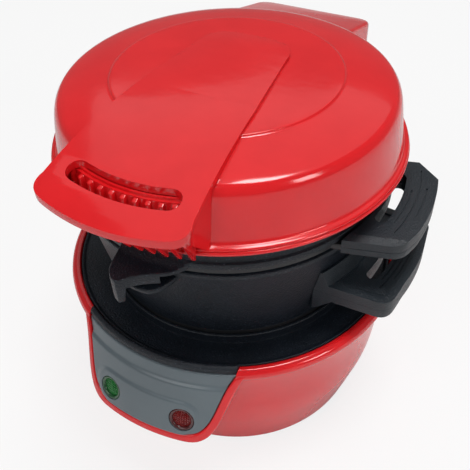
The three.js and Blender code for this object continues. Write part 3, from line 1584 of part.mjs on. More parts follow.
addPart('lid_hinge_bracket', (() => {
  const bridge = block(
    [-lidEarOuter, 0, bracketFoot],
    [lidEarOuter, hingeReach + knuckleRadius * bracketRearShare, bracketTop],
  );
  const flange = block(
    [-lidEarOuter, 0, bracketScrewHeight - bracketFlangeDrop],
    [lidEarOuter, flangeReach, coverTopAt(flangeReach) - coverWall - seatGap],
  );
  const earShape = roundedShape([
    [hingeReach - knuckleRadius, hingeHeight],
    [hingeReach + knuckleRadius, hingeHeight],
    [hingeReach + knuckleRadius * bracketRearShare, bracketTop - lidEarThickness / 2],
    [hingeReach - knuckleRadius * bracketRearShare, bracketTop - lidEarThickness / 2],
  ]);
  const ears = mirrored((side) => join(
    sideways(earShape, ...between(side, lidEarInner, lidEarOuter)),
    onPin(knuckleRadius, ...between(side, lidEarInner, lidEarOuter)),
  ));
  const screwHoles = bracketScrews.map((x) => (
    rod(
      handleScrewRadius + boreGap,
      [x, 0, bracketScrewHeight],
      [x, coverRear, bracketScrewHeight],
      holeFacets,
    )
  ));
  return cut(join(bridge, flange, ears), lidGrown, pinBore, screwHoles);
})(), steel);
bracketScrews.forEach((x, i) => {
  const wall = lidRadius * wallShareAt(bracketScrewHeight + handleScrewHead) - lidWall;
  const headFace = Math.sqrt(wall ** 2 - (Math.abs(x) + handleScrewHead) ** 2) - seatGap;
  const headBack = headFace - handleScrewHead / 2;
  addPart(`bracket_screw_${i + 1}`, join(
    rod(handleScrewHead, [x, headBack, bracketScrewHeight], [x, headFace, bracketScrewHeight], holeFacets),
    rod(
      handleScrewRadius,
      [x, headFace - seatGap, bracketScrewHeight],
      [x, flangeReach, bracketScrewHeight],
      holeFacets,
    ),
  ), steel);
});

// Exported last, with the origin under the middle of the object
const bounds = new THREE.Box3().setFromObject(model);
const middle = bounds.getCenter(new THREE.Vector3());
model.position.set(-middle.x, -middle.y, -bounds.min.z);

export default model;
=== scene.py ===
"""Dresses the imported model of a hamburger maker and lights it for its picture.

Every piece is modelled in millimetres about the cooking axis, which runs up through the two
heating plates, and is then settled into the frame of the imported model.
"""

import json
import logging
import math
from collections.abc import Callable, Sequence
from dataclasses import dataclass
from enum import Enum

import bpy
from mathutils import Matrix, Vector


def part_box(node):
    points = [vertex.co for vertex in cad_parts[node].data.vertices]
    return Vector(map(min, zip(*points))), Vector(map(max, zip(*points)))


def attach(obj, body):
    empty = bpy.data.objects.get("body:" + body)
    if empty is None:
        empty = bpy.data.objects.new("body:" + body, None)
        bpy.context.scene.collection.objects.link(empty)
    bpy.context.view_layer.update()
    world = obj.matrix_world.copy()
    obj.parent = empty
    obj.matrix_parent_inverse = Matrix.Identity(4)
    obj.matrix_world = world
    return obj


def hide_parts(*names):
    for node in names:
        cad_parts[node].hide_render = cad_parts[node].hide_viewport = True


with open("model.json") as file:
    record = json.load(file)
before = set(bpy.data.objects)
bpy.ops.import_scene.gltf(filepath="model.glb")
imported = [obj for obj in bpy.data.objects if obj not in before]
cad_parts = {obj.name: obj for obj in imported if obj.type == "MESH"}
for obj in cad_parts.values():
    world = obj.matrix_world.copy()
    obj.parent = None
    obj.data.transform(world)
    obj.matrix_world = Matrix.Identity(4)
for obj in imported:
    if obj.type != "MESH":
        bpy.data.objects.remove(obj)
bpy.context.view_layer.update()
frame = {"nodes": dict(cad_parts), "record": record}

Point = tuple[float, float]
Spot = tuple[float, float, float]
Colour = tuple[float, float, float]

logging.basicConfig(level=logging.INFO, format="%(message)s")
log = logging.getLogger("hamburger_maker")

MM = 0.001
TURN_STEPS = 128


def cooking_axis() -> Vector:
    """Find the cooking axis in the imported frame.

    Returns:
        The point on the table under the middle of the lower heating plate, in metres.
    """
    low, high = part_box("lower_heating_plate")
    return Vector(((low[0] + high[0]) / 2, (low[1] + high[1]) / 2, 0.0))


AXIS = cooking_axis()


@dataclass(frozen=True)
class Levels:
    """Heights above the table, radii about the cooking axis and other sizes that pieces share."""

    foot: float = 3.0
    ledge: float = 72.1
    rim: float = 77.5
    lower_plate: float = 79.7
    cup_foot: float = 80.0
    cup_mouth: float = 122.0
    dish_foot: float = 122.6
    dish_top: float = 125.5
    pin: float = 128.5
    egg_ring_foot: float = 125.8
    egg_ring_mouth: float = 148.0
    flange: float = 140.4
    liner: float = 148.6
    crown: float = 171.8
    pin_reach: float = 84.0
    rim_radius: float = 80.0
    lid_radius: float = 75.0
    egg_ring_radius: float = 67.8
    egg_ring_neck: float = 65.4
    egg_ring_bore: float = 62.0
    cup_mouth_radius: float = 67.2
    cup_foot_radius: float = 59.2
    handle_inner: float = 69.4
    handle_outer: float = 89.0
    pivot: Point = (36.1, 62.528)
    pivot_bore: float = 2.65
    pin_bore: float = 3.25
    knuckle: float = 5.6
    tongue_inner: float = 62.0
    tongue_reach: float = 78.1
    screw_radius: float = 73.2
    screw_well: float = 2.45


LEVELS = Levels()


# Points and lines


def mix(low: float, high: float, share: float) -> float:
    """Return the value a share of the way from low to high."""
    return low + (high - low) * share


def polar(radius: float, angle: float) -> Point:
    """Place a point by its angle from the front towards the user's right.

    Args:
        radius: distance from the cooking axis.
        angle: degrees from the front, -Y, towards +X.

    Returns:
        The point's x and y.
    """
    bearing = math.radians(angle)
    return radius * math.sin(bearing), -radius * math.cos(bearing)


def arc(radius: float, start: float, end: float, steps: int) -> list[Point]:
    """Return points along an arc about the cooking axis."""
    return [polar(radius, mix(start, end, i / steps)) for i in range(steps + 1)]


def degrees_of(length: float, radius: float) -> float:
    """Return the angle that a length takes up at a radius."""
    return math.degrees(length / radius)


def ease(share: float) -> float:
    """Return a share, held between 0 and 1, that starts and ends gently."""
    share = min(1.0, max(0.0, share))
    return share * share * (3 - 2 * share)


def rounded(corners: Sequence[tuple[float, ...]], steps: int = 5) -> list[Point]:
    """Round the corners of a closed outline.

    Args:
        corners: x, y and, where the corner is round, how far the rounding reaches.
        steps: segments of each rounding.

    Returns:
        The points of the rounded outline.
    """
    points: list[Point] = []
    count = len(corners)
    for i, corner in enumerate(corners):
        here = Vector(corner[:2])
        reach = corner[2] if len(corner) > 2 else 0.0
        before = Vector(corners[i - 1][:2])
        after = Vector(corners[(i + 1) % count][:2])
        reach = min(reach, (before - here).length / 2, (after - here).length / 2)
        if reach <= 0:
            points.append((here.x, here.y))
            continue
        enter = here + (before - here).normalized() * reach
        leave = here + (after - here).normalized() * reach
        for k in range(steps + 1):
            t = k / steps
            spot = enter * (1 - t) ** 2 + here * 2 * t * (1 - t) + leave * t * t
            points.append((spot.x, spot.y))
    return points


def flowing(points: Sequence[Point], steps: int = 6) -> list[Point]:
    """Draw a smooth line through points.

    Args:
        points: the points that the line passes through.
        steps: segments between two of them.

    Returns:
        The points of the smooth line, with the given ones among them.
    """
    spots = [Vector(point) for point in points]
    line: list[Point] = []
    for i in range(len(spots) - 1):
        start, end = spots[i], spots[i + 1]
        before = spots[i - 1] if i else start * 2 - end
        after = spots[i + 2] if i + 2 < len(spots) else end * 2 - start
        for k in range(steps):
            t = k / steps
            spot = 0.5 * (
                start * 2 + (end - before) * t
                + (before * 2 - start * 5 + end * 4 - after) * t * t
                + (start * 3 - before - end * 3 + after) * t ** 3
            )
            line.append((spot.x, spot.y))
    line.append(tuple(spots[-1]))
    return line


def turn(start: Point, corner: Point, end: Point, steps: int = 6) -> list[Point]:
    """Round a corner from one point to another.

    Args:
        start: where the rounding starts.
        corner: the corner that it rounds.
        end: where it ends.
        steps: segments of the rounding.

    Returns:
        The points of the rounding, both ends among them.
    """
    a, b, c = Vector(start), Vector(corner), Vector(end)
    line: list[Point] = []
    for i in range(steps + 1):
        t = i / steps
        spot = a * (1 - t) ** 2 + b * 2 * t * (1 - t) + c * t * t
        line.append((spot.x, spot.y))
    return line


def curve(start: Point, first: Point, second: Point, end: Point, steps: int = 12) -> list[Point]:
    """Draw a curve that leaves towards one guide point and arrives from another.

    Args:
        start: where it starts.
        first: the point that it leaves towards.
        second: the point that it arrives from.
        end: where it ends.
        steps: segments of the curve.

    Returns:
        The points of the curve, both ends among them.
    """
    a, b, c, d = (Vector(point) for point in (start, first, second, end))
    line: list[Point] = []
    for i in range(steps + 1):
        t = i / steps
        spot = a * (1 - t) ** 3 + b * 3 * t * (1 - t) ** 2 + c * 3 * t * t * (1 - t) + d * t ** 3
        line.append((spot.x, spot.y))
    return line


def arc_slot(inner: float, outer: float, start: float, end: float, steps: int = 16) -> list[Point]:
    """Outline a slot along an arc, with half-round ends.

    Args:
        inner: radius of its inner side.
        outer: radius of its outer side.
        start: angle of its near end.
        end: angle of its far end.
        steps: segments of each long side.

    Returns:
        The points of the closed outline.
    """
    middle, half = (inner + outer) / 2, (outer - inner) / 2
    shrink = degrees_of(half, middle)
    caps = 8

    def cap(angle: float, way: int) -> list[Point]:
        """Draw one half-round end.

        Args:
            angle: angle of its middle.
            way: 1 from the outer side inwards, -1 from the inner side outwards.

        Returns:
            The points between the two sides.
        """
        bearing = math.radians(angle)
        points = []
        for i in range(1, caps):
            swing = math.pi * i / caps
            x, y = polar(middle + way * half * math.cos(swing), angle)
            along = way * half * math.sin(swing)
            points.append((x + along * math.cos(bearing), y + along * math.sin(bearing)))
        return points

    return [
        *arc(outer, start + shrink, end - shrink, steps), *cap(end - shrink, 1),
        *arc(inner, end - shrink, start + shrink, steps), *cap(start + shrink, -1),
    ]


# Modelling by hand


class Plane(Enum):
    """Plane that a flat outline is drawn in."""

    LEVEL = "level"
    SIDE = "side"
    FRONT = "front"

    def spot(self, point: Point, depth: float) -> Spot:
        """Place a point of the outline at a depth across the plane.

        Args:
            point: the two coordinates in the plane.
            depth: the coordinate across it.

        Returns:
            The point's x, y and z.
        """
        a, b = point
        if self is Plane.LEVEL:
            return (a, b, depth)
        if self is Plane.SIDE:
            return (depth, a, b)
        return (a, depth, b)


def pick(piece: bpy.types.Object) -> None:
    """Leave edit mode and select one piece and nothing else.

    Args:
        piece: the piece.
    """
    if bpy.context.object and bpy.context.object.mode != "OBJECT":
        bpy.ops.object.mode_set(mode="OBJECT")
    bpy.ops.object.select_all(action="DESELECT")
    piece.select_set(True)
    bpy.context.view_layer.objects.active = piece


def discard(piece: bpy.types.Object) -> None:
    """Delete a piece that has been used up."""
    pick(piece)
    bpy.ops.object.delete()


def copy_of(piece: bpy.types.Object, name: str) -> bpy.types.Object:
    """Copy a piece, with a mesh of its own.

    Args:
        piece: the piece that is copied.
        name: the copy's name.

    Returns:
        The copy.
    """
    copy = piece.copy()
    copy.data = piece.data.copy()
    copy.name = copy.data.name = name
    bpy.context.collection.objects.link(copy)
    return copy


def named(name: str) -> bpy.types.Object:
    """Name the piece that was just made, and its mesh.

    Args:
        name: the name.

    Returns:
        The piece.
    """
    piece = bpy.context.object
    piece.name = piece.data.name = name
    return piece


def close_up() -> None:
    """Turn the faces of the piece in edit mode outwards, and leave edit mode."""
    bpy.ops.mesh.select_all(action="SELECT")
    bpy.ops.mesh.normals_make_consistent(inside=False)
    bpy.ops.object.mode_set(mode="OBJECT")


def draw(name: str, spots: Sequence[Spot]) -> bpy.types.Object:
    """Draw a line by extruding one vertex from point to point, and stay in edit mode.

    Args:
        name: the new piece's name.
        spots: the points of the line.

    Returns:
        The new piece, with its whole line selected.
    """
    bpy.ops.object.select_all(action="DESELECT")
    bpy.ops.mesh.primitive_plane_add(size=1, location=(0, 0, 0))
    piece = named(name)
    bpy.ops.object.mode_set(mode="EDIT")
    bpy.ops.mesh.select_all(action="SELECT")
    bpy.ops.mesh.merge(type="CENTER")
    bpy.ops.transform.translate(value=spots[0])
    for here, there in zip(spots, spots[1:]):
        step = tuple(b - a for a, b in zip(here, there))
        bpy.ops.mesh.extrude_region_move(TRANSFORM_OT_translate={"value": step})
    bpy.ops.mesh.select_all(action="SELECT")
    return piece


def slab(
    name: str, outline: Sequence[Point], start: float, end: float, plane: Plane = Plane.LEVEL,
) -> bpy.types.Object:
    """Fill a closed outline and extrude it across its plane.

    Args:
        name: the new piece's name.
        outline: the points of the closed outline.
        start: where the slab begins across the plane.
        end: where it ends.
        plane: the plane of the outline.

    Returns:
        The new piece.
    """
    piece = draw(name, [plane.spot(point, start) for point in outline])
    bpy.ops.mesh.edge_face_add()
    across = Vector(plane.spot((0.0, 0.0), end - start))
    bpy.ops.mesh.extrude_region_move(TRANSFORM_OT_translate={"value": across})
    close_up()
    return piece


def spin(name: str, profile: Sequence[Point], steps: int = TURN_STEPS) -> bpy.types.Object:
    """Spin a profile about the cooking axis.

    Args:
        name: the new piece's name.
        profile: radius and height of each point. A profile that doesn't start and end on the
            axis is closed.
        steps: segments of the full turn.

    Returns:
        The new piece, closed and with its faces pointing out.
    """
    on_axis = profile[0][0] == 0 and profile[-1][0] == 0
    points = list(profile) if on_axis else [*profile, profile[0]]
    piece = draw(name, [(radius, 0.0, height) for radius, height in points])
    bpy.ops.mesh.spin(steps=steps, angle=2 * math.pi, center=(0, 0, 0), axis=(0, 0, 1))
    bpy.ops.mesh.select_all(action="SELECT")
    bpy.ops.mesh.remove_doubles(threshold=0.002)
    close_up()
    return piece


def change(piece: bpy.types.Object, kind: str, **settings: object) -> None:
    """Add a modifier to a piece and apply it.

    Args:
        piece: the piece that changes.
        kind: the modifier's type.
        settings: the modifier's settings.
    """
    pick(piece)
    modifier = piece.modifiers.new("step", kind)
    for key, value in settings.items():
        setattr(modifier, key, value)
    bpy.ops.object.modifier_apply(modifier=modifier.name)


def combine(piece: bpy.types.Object, *tools: bpy.types.Object, how: str = "UNION") -> bpy.types.Object:
    """Combine a piece with tools, which are used up.

    Args:
        piece: the piece that changes.
        tools: the pieces that are added, taken away or crossed with it.
        how: UNION, DIFFERENCE or INTERSECT.

    Returns:
        The changed piece.
    """
    for tool in tools:
        change(piece, "BOOLEAN", object=tool, operation=how, solver="MANIFOLD")
        discard(tool)
    return piece


def cut(piece: bpy.types.Object, *tools: bpy.types.Object) -> bpy.types.Object:
    """Take tools away from a piece."""
    return combine(piece, *tools, how="DIFFERENCE")


def bevel(piece: bpy.types.Object, width: float, angle: float = 40, segments: int = 3) -> None:
    """Round the sharp edges of a piece.

    Args:
        piece: the piece that changes.
        width: width of the rounding.
        angle: edges that turn less than this, in degrees, stay.
        segments: steps of the rounding.
    """
    change(
        piece, "BEVEL", width=width, segments=segments, limit_method="ANGLE",
        angle_limit=math.radians(angle), use_clamp_overlap=True,
    )


def slice_along(piece: bpy.types.Object, axis: int, start: float, end: float, step: float) -> None:
    """Cut the faces of a piece into strips, so that they can follow a curve.

    Args:
        piece: the piece that is cut.
        axis: 0, 1 or 2 for strips along X, Y or Z.
        start: place of the first cut.
        end: place of the last cut.
        step: width of a strip.
    """
    pick(piece)
    bpy.ops.object.mode_set(mode="EDIT")
    count = max(1, round((end - start) / step))
    for i in range(count + 1):
        place, normal = [0.0, 0.0, 0.0], [0.0, 0.0, 0.0]
        place[axis] = mix(start, end, i / count)
        normal[axis] = 1.0
        bpy.ops.mesh.select_all(action="SELECT")
        bpy.ops.mesh.bisect(plane_co=place, plane_no=normal)
    bpy.ops.object.mode_set(mode="OBJECT")


def drape(piece: bpy.types.Object, place: Callable[[Vector], Spot]) -> bpy.types.Object:
    """Move every vertex of a piece to a place worked out from where it is.

    Args:
        piece: the piece that changes.
        place: gives the new place of a vertex.

    Returns:
        The changed piece.
    """
    for vertex in piece.data.vertices:
        vertex.co = place(vertex.co)
    return piece


def rod(name: str, radius: float, start: Spot, end: Spot, sides: int = 32) -> bpy.types.Object:
    """Make a round tool or shaft between two points.

    Args:
        name: the new piece's name.
        radius: its radius.
        start: middle of one end.
        end: middle of the other end.
        sides: number of its sides.

    Returns:
        The new piece.
    """
    low, high = Vector(start), Vector(end)
    lean = (high - low).to_track_quat("Z", "Y").to_euler()
    bpy.ops.object.select_all(action="DESELECT")
    bpy.ops.mesh.primitive_cylinder_add(
        vertices=sides, radius=radius, depth=(high - low).length,
        location=(low + high) / 2, rotation=lean,
    )
    piece = named(name)
    bpy.ops.object.transform_apply(location=True, rotation=True, scale=True)
    return piece


def post(
    name: str, radius: float, place: Point, low: float, high: float, sides: int = 32,
) -> bpy.types.Object:
    """Make an upright rod.

    Args:
        name: its name.
        radius: its radius.
        place: x and y of its middle.
        low: height of its lower end.
        high: height of its upper end.
        sides: number of its sides.

    Returns:
        The rod.
    """
    return rod(name, radius, (*place, low), (*place, high), sides)


def pin_rod(name: str, radius: float, low: float, high: float, sides: int = 32) -> bpy.types.Object:
    """Make a rod along the hinge pin, from one x to another."""
    reach, height = LEVELS.pin_reach, LEVELS.pin
    return rod(name, radius, (low, reach, height), (high, reach, height), sides)


def box(name: str, low: Spot, high: Spot) -> bpy.types.Object:
    """Make a box that cuts or crosses a piece."""
    outline = [(low[0], low[1]), (high[0], low[1]), (high[0], high[1]), (low[0], high[1])]
    return slab(name, outline, low[2], high[2])


# Finishes


def feed(tree: bpy.types.NodeTree, node: bpy.types.Node, values: dict[str, object]) -> bpy.types.Node:
    """Set the inputs of a shader node.

    Args:
        tree: the tree that the node is in.
        node: the node.
        values: a fixed value or the output of another node, for each input by its name.

    Returns:
        The same node.
    """
    for name, value in values.items():
        if isinstance(value, bpy.types.NodeSocket):
            tree.links.new(value, node.inputs[name])
        else:
            node.inputs[name].default_value = value
    return node


def add(tree: bpy.types.NodeTree, kind: str, **values: object) -> bpy.types.Node:
    """Add a shader node and set its inputs, whose names are given with _ for a space."""
    node = tree.nodes.new(f"ShaderNode{kind}")
    return feed(tree, node, {name.replace("_", " "): value for name, value in values.items()})


def ramp(
    tree: bpy.types.NodeTree, share: bpy.types.NodeSocket,
    low: tuple[float, Colour], high: tuple[float, Colour],
) -> bpy.types.NodeSocket:
    """Add a ramp from one colour to another.

    Args:
        tree: the tree that it goes into.
        share: the value that runs along the ramp.
        low: where the ramp starts, and its colour there.
        high: where it ends, and its colour there.

    Returns:
        The ramp's colour.
    """
    node = add(tree, "ValToRGB", Fac=share)
    for element, (place, colour) in zip(node.color_ramp.elements, (low, high)):
        element.position = place
        element.color = (*colour, 1.0)
    return node.outputs["Color"]


class Grain(Enum):
    """Fine relief of a finish."""

    PEEL = "slow waves of a polished moulding"
    FINE = "fine texture of a matt moulding"
    SPECKLE = "sprayed coating with pale flecks"
    BRUSHED = "fine scratches round a turned face"


BRUSHED_STRETCH = (1.0, 1.0, 14.0)
CLOUD_SCALE = 55.0
FLECK_SCALE = 620.0


@dataclass(frozen=True)
class Finish:
    """A material with its colour, its gloss and its fine relief, on Object coordinates."""

    name: str
    colour: Colour
    shade: Colour
    roughness: float
    spread: float
    grain: Grain
    grain_size: float
    relief: float
    metallic: float = 0.0
    coat: float = 0.0
    coat_roughness: float = 0.05
    level: float = 0.5

    def material(self) -> bpy.types.Material:
        """Build the material, or find it if it is there.

        Returns:
            The material.
        """
        known = bpy.data.materials.get(self.name)
        if known:
            return known
        material = bpy.data.materials.new(self.name)
        material.use_nodes = True
        tree = material.node_tree
        place = add(tree, "TexCoord")
        mapping = add(tree, "Mapping", Vector=place.outputs["Object"])
        if self.grain is Grain.BRUSHED:
            mapping.inputs["Scale"].default_value = BRUSHED_STRETCH
        where = mapping.outputs["Vector"]
        detail = 1.0 if self.grain is Grain.PEEL else 4.0
        fine = add(
            tree, "TexNoise", Vector=where, Scale=1.0 / (self.grain_size * MM), Detail=detail, Roughness=0.55,
        ).outputs["Fac"]
        broad = add(tree, "TexNoise", Vector=where, Scale=CLOUD_SCALE, Detail=3.0).outputs["Fac"]
        colour = ramp(tree, broad, (0.3, self.shade), (0.7, self.colour))
        if self.grain is Grain.SPECKLE:
            colour = self._flecks(tree, where, colour)
        gloss = add(
            tree, "MapRange", Value=fine,
            To_Min=self.roughness - self.spread, To_Max=self.roughness + self.spread,
        )
        bump = add(
            tree, "Bump", Height=fine, Strength=self.relief, Distance=self.grain_size * MM * 0.5,
        )
        feed(tree, tree.nodes["Principled BSDF"], {
            "Base Color": colour,
            "Metallic": self.metallic,
            "Roughness": gloss.outputs["Result"],
            "Normal": bump.outputs["Normal"],
            "Coat Weight": self.coat,
            "Coat Roughness": self.coat_roughness,
            "Specular IOR Level": self.level,
        })
        return material

    def _flecks(
        self, tree: bpy.types.NodeTree, where: bpy.types.NodeSocket, under: bpy.types.NodeSocket,
    ) -> bpy.types.NodeSocket:
        """Add the pale flecks of a sprayed coating.

        Args:
            tree: the material's tree, that they go into.
            where: the place on the piece.
            under: the colour between the flecks.

        Returns:
            The colour with flecks.
        """
        cells = add(tree, "TexVoronoi", Vector=where, Scale=FLECK_SCALE)
        near = ramp(tree, cells.outputs["Distance"], (0.09, (0.55, 0.55, 0.55)), (0.2, (0.0, 0.0, 0.0)))
        blend = add(tree, "Mix")
        blend.data_type = "RGBA"
        pale = tuple(min(1.0, part * 5 + 0.03) for part in self.colour)
        feed(tree, blend, {"Factor": near, "A": under, "B": (*pale, 1.0)})
        return blend.outputs["Result"]


RED = Finish(
    "polished_red", (0.78, 0.012, 0.016), (0.72, 0.009, 0.013), 0.13, 0.02, Grain.PEEL, 5.0, 0.02,
    coat=0.2, coat_roughness=0.04,
)
BLACK = Finish(
    "textured_black", (0.013, 0.02, 0.027), (0.01, 0.015, 0.021), 0.44, 0.07, Grain.FINE, 0.7, 0.9,
)
COATING = Finish(
    "sprayed_coating", (0.009, 0.013, 0.02), (0.006, 0.009, 0.014), 0.4, 0.09, Grain.SPECKLE, 0.9, 1.0,
    level=0.35,
)
CAST = Finish(
    "cast_plate", (0.016, 0.017, 0.019), (0.011, 0.012, 0.014), 0.38, 0.07, Grain.SPECKLE, 0.7, 0.22,
    metallic=0.2,
)
GREY = Finish(
    "satin_grey", (0.13, 0.162, 0.18), (0.12, 0.15, 0.168), 0.22, 0.03, Grain.FINE, 0.4, 0.03,
)
STEEL = Finish(
    "turned_steel", (0.56, 0.56, 0.57), (0.48, 0.48, 0.5), 0.32, 0.07, Grain.BRUSHED, 0.6, 0.12,
    metallic=1.0,
)
RUBBER = Finish(
    "rubber", (0.014, 0.014, 0.014), (0.009, 0.009, 0.009), 0.8, 0.08, Grain.FINE, 0.6, 0.35, level=0.3,
)
CERAMIC = Finish(
    "heatproof_white", (0.72, 0.7, 0.62), (0.62, 0.6, 0.52), 0.6, 0.08, Grain.FINE, 0.8, 0.2,
)
LAMINATE = Finish(
    "board_laminate", (0.26, 0.14, 0.045), (0.2, 0.1, 0.03), 0.5, 0.08, Grain.FINE, 0.5, 0.15,
)
GREEN_LENS = Finish(
    "green_lens", (0.01, 0.5, 0.04), (0.005, 0.22, 0.018), 0.16, 0.04, Grain.PEEL, 1.2, 0.08,
    coat=0.6,
)
RED_LENS = Finish(
    "red_lens", (0.24, 0.006, 0.006), (0.11, 0.003, 0.004), 0.16, 0.04, Grain.PEEL, 1.2, 0.08, coat=0.6,
)
# Darker copies of the two lens colours for the rings round the lenses: painted shade at the edge of each
# lens.
GREEN_RIM_PAINTED_SHADE = Finish(
    "green_rim_painted_shade", (0.006, 0.075, 0.018), (0.004, 0.04, 0.01), 0.2, 0.04, Grain.PEEL, 1.2, 0.06, coat=0.5,
)
RED_RIM_PAINTED_SHADE = Finish(
    "red_rim_painted_shade", (0.07, 0.006, 0.007), (0.04, 0.004, 0.005), 0.2, 0.04, Grain.PEEL, 1.2, 0.06, coat=0.5,
)

SLOT_FINISHES: dict[str, Finish] = {
    "red_plastic": RED,
    "black_plastic": BLACK,
    "coated_aluminium": COATING,
    "coated_plate": CAST,
    "grey_panel": GREY,
    "green_lens": GREEN_LENS,
    "red_lens": RED_LENS,
    "steel": STEEL,
    "circuit_board": LAMINATE,
    "heatproof_moulding": CERAMIC,
    "rubber": RUBBER,
}


def settle(
    piece: bpy.types.Object, body: str, slot: str, *nodes: str, finish: Finish | None = None,
    angle: float = 32,
) -> None:
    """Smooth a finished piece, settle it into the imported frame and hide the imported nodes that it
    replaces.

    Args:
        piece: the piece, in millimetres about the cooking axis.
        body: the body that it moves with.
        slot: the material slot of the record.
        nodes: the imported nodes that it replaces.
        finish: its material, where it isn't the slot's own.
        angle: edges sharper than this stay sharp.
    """
    pick(piece)
    piece.scale = (MM, MM, MM)
    piece.location = AXIS
    bpy.ops.object.transform_apply(location=True, rotation=True, scale=True)
    bpy.ops.object.shade_smooth_by_angle(angle=math.radians(angle))
    piece.data.materials.clear()
    piece.data.materials.append((finish or SLOT_FINISHES[slot]).material())
    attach(piece, body)
    if nodes:
        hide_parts(*nodes)
    log.info("%s: %d faces on %s", piece.name, len(piece.data.polygons), body)


# Sub-assemblies


@dataclass(frozen=True)
class Light:
    """One of the two lights: its side of the panel, its name, its slot and its ring's finish, a darker copy
    of the lens colour that paints shade round the lens.
    """

    side: int
    name: str
    slot: str
    # rim: painted shade, a darker copy of the lens colour for the ring round the lens.
    rim: Finish


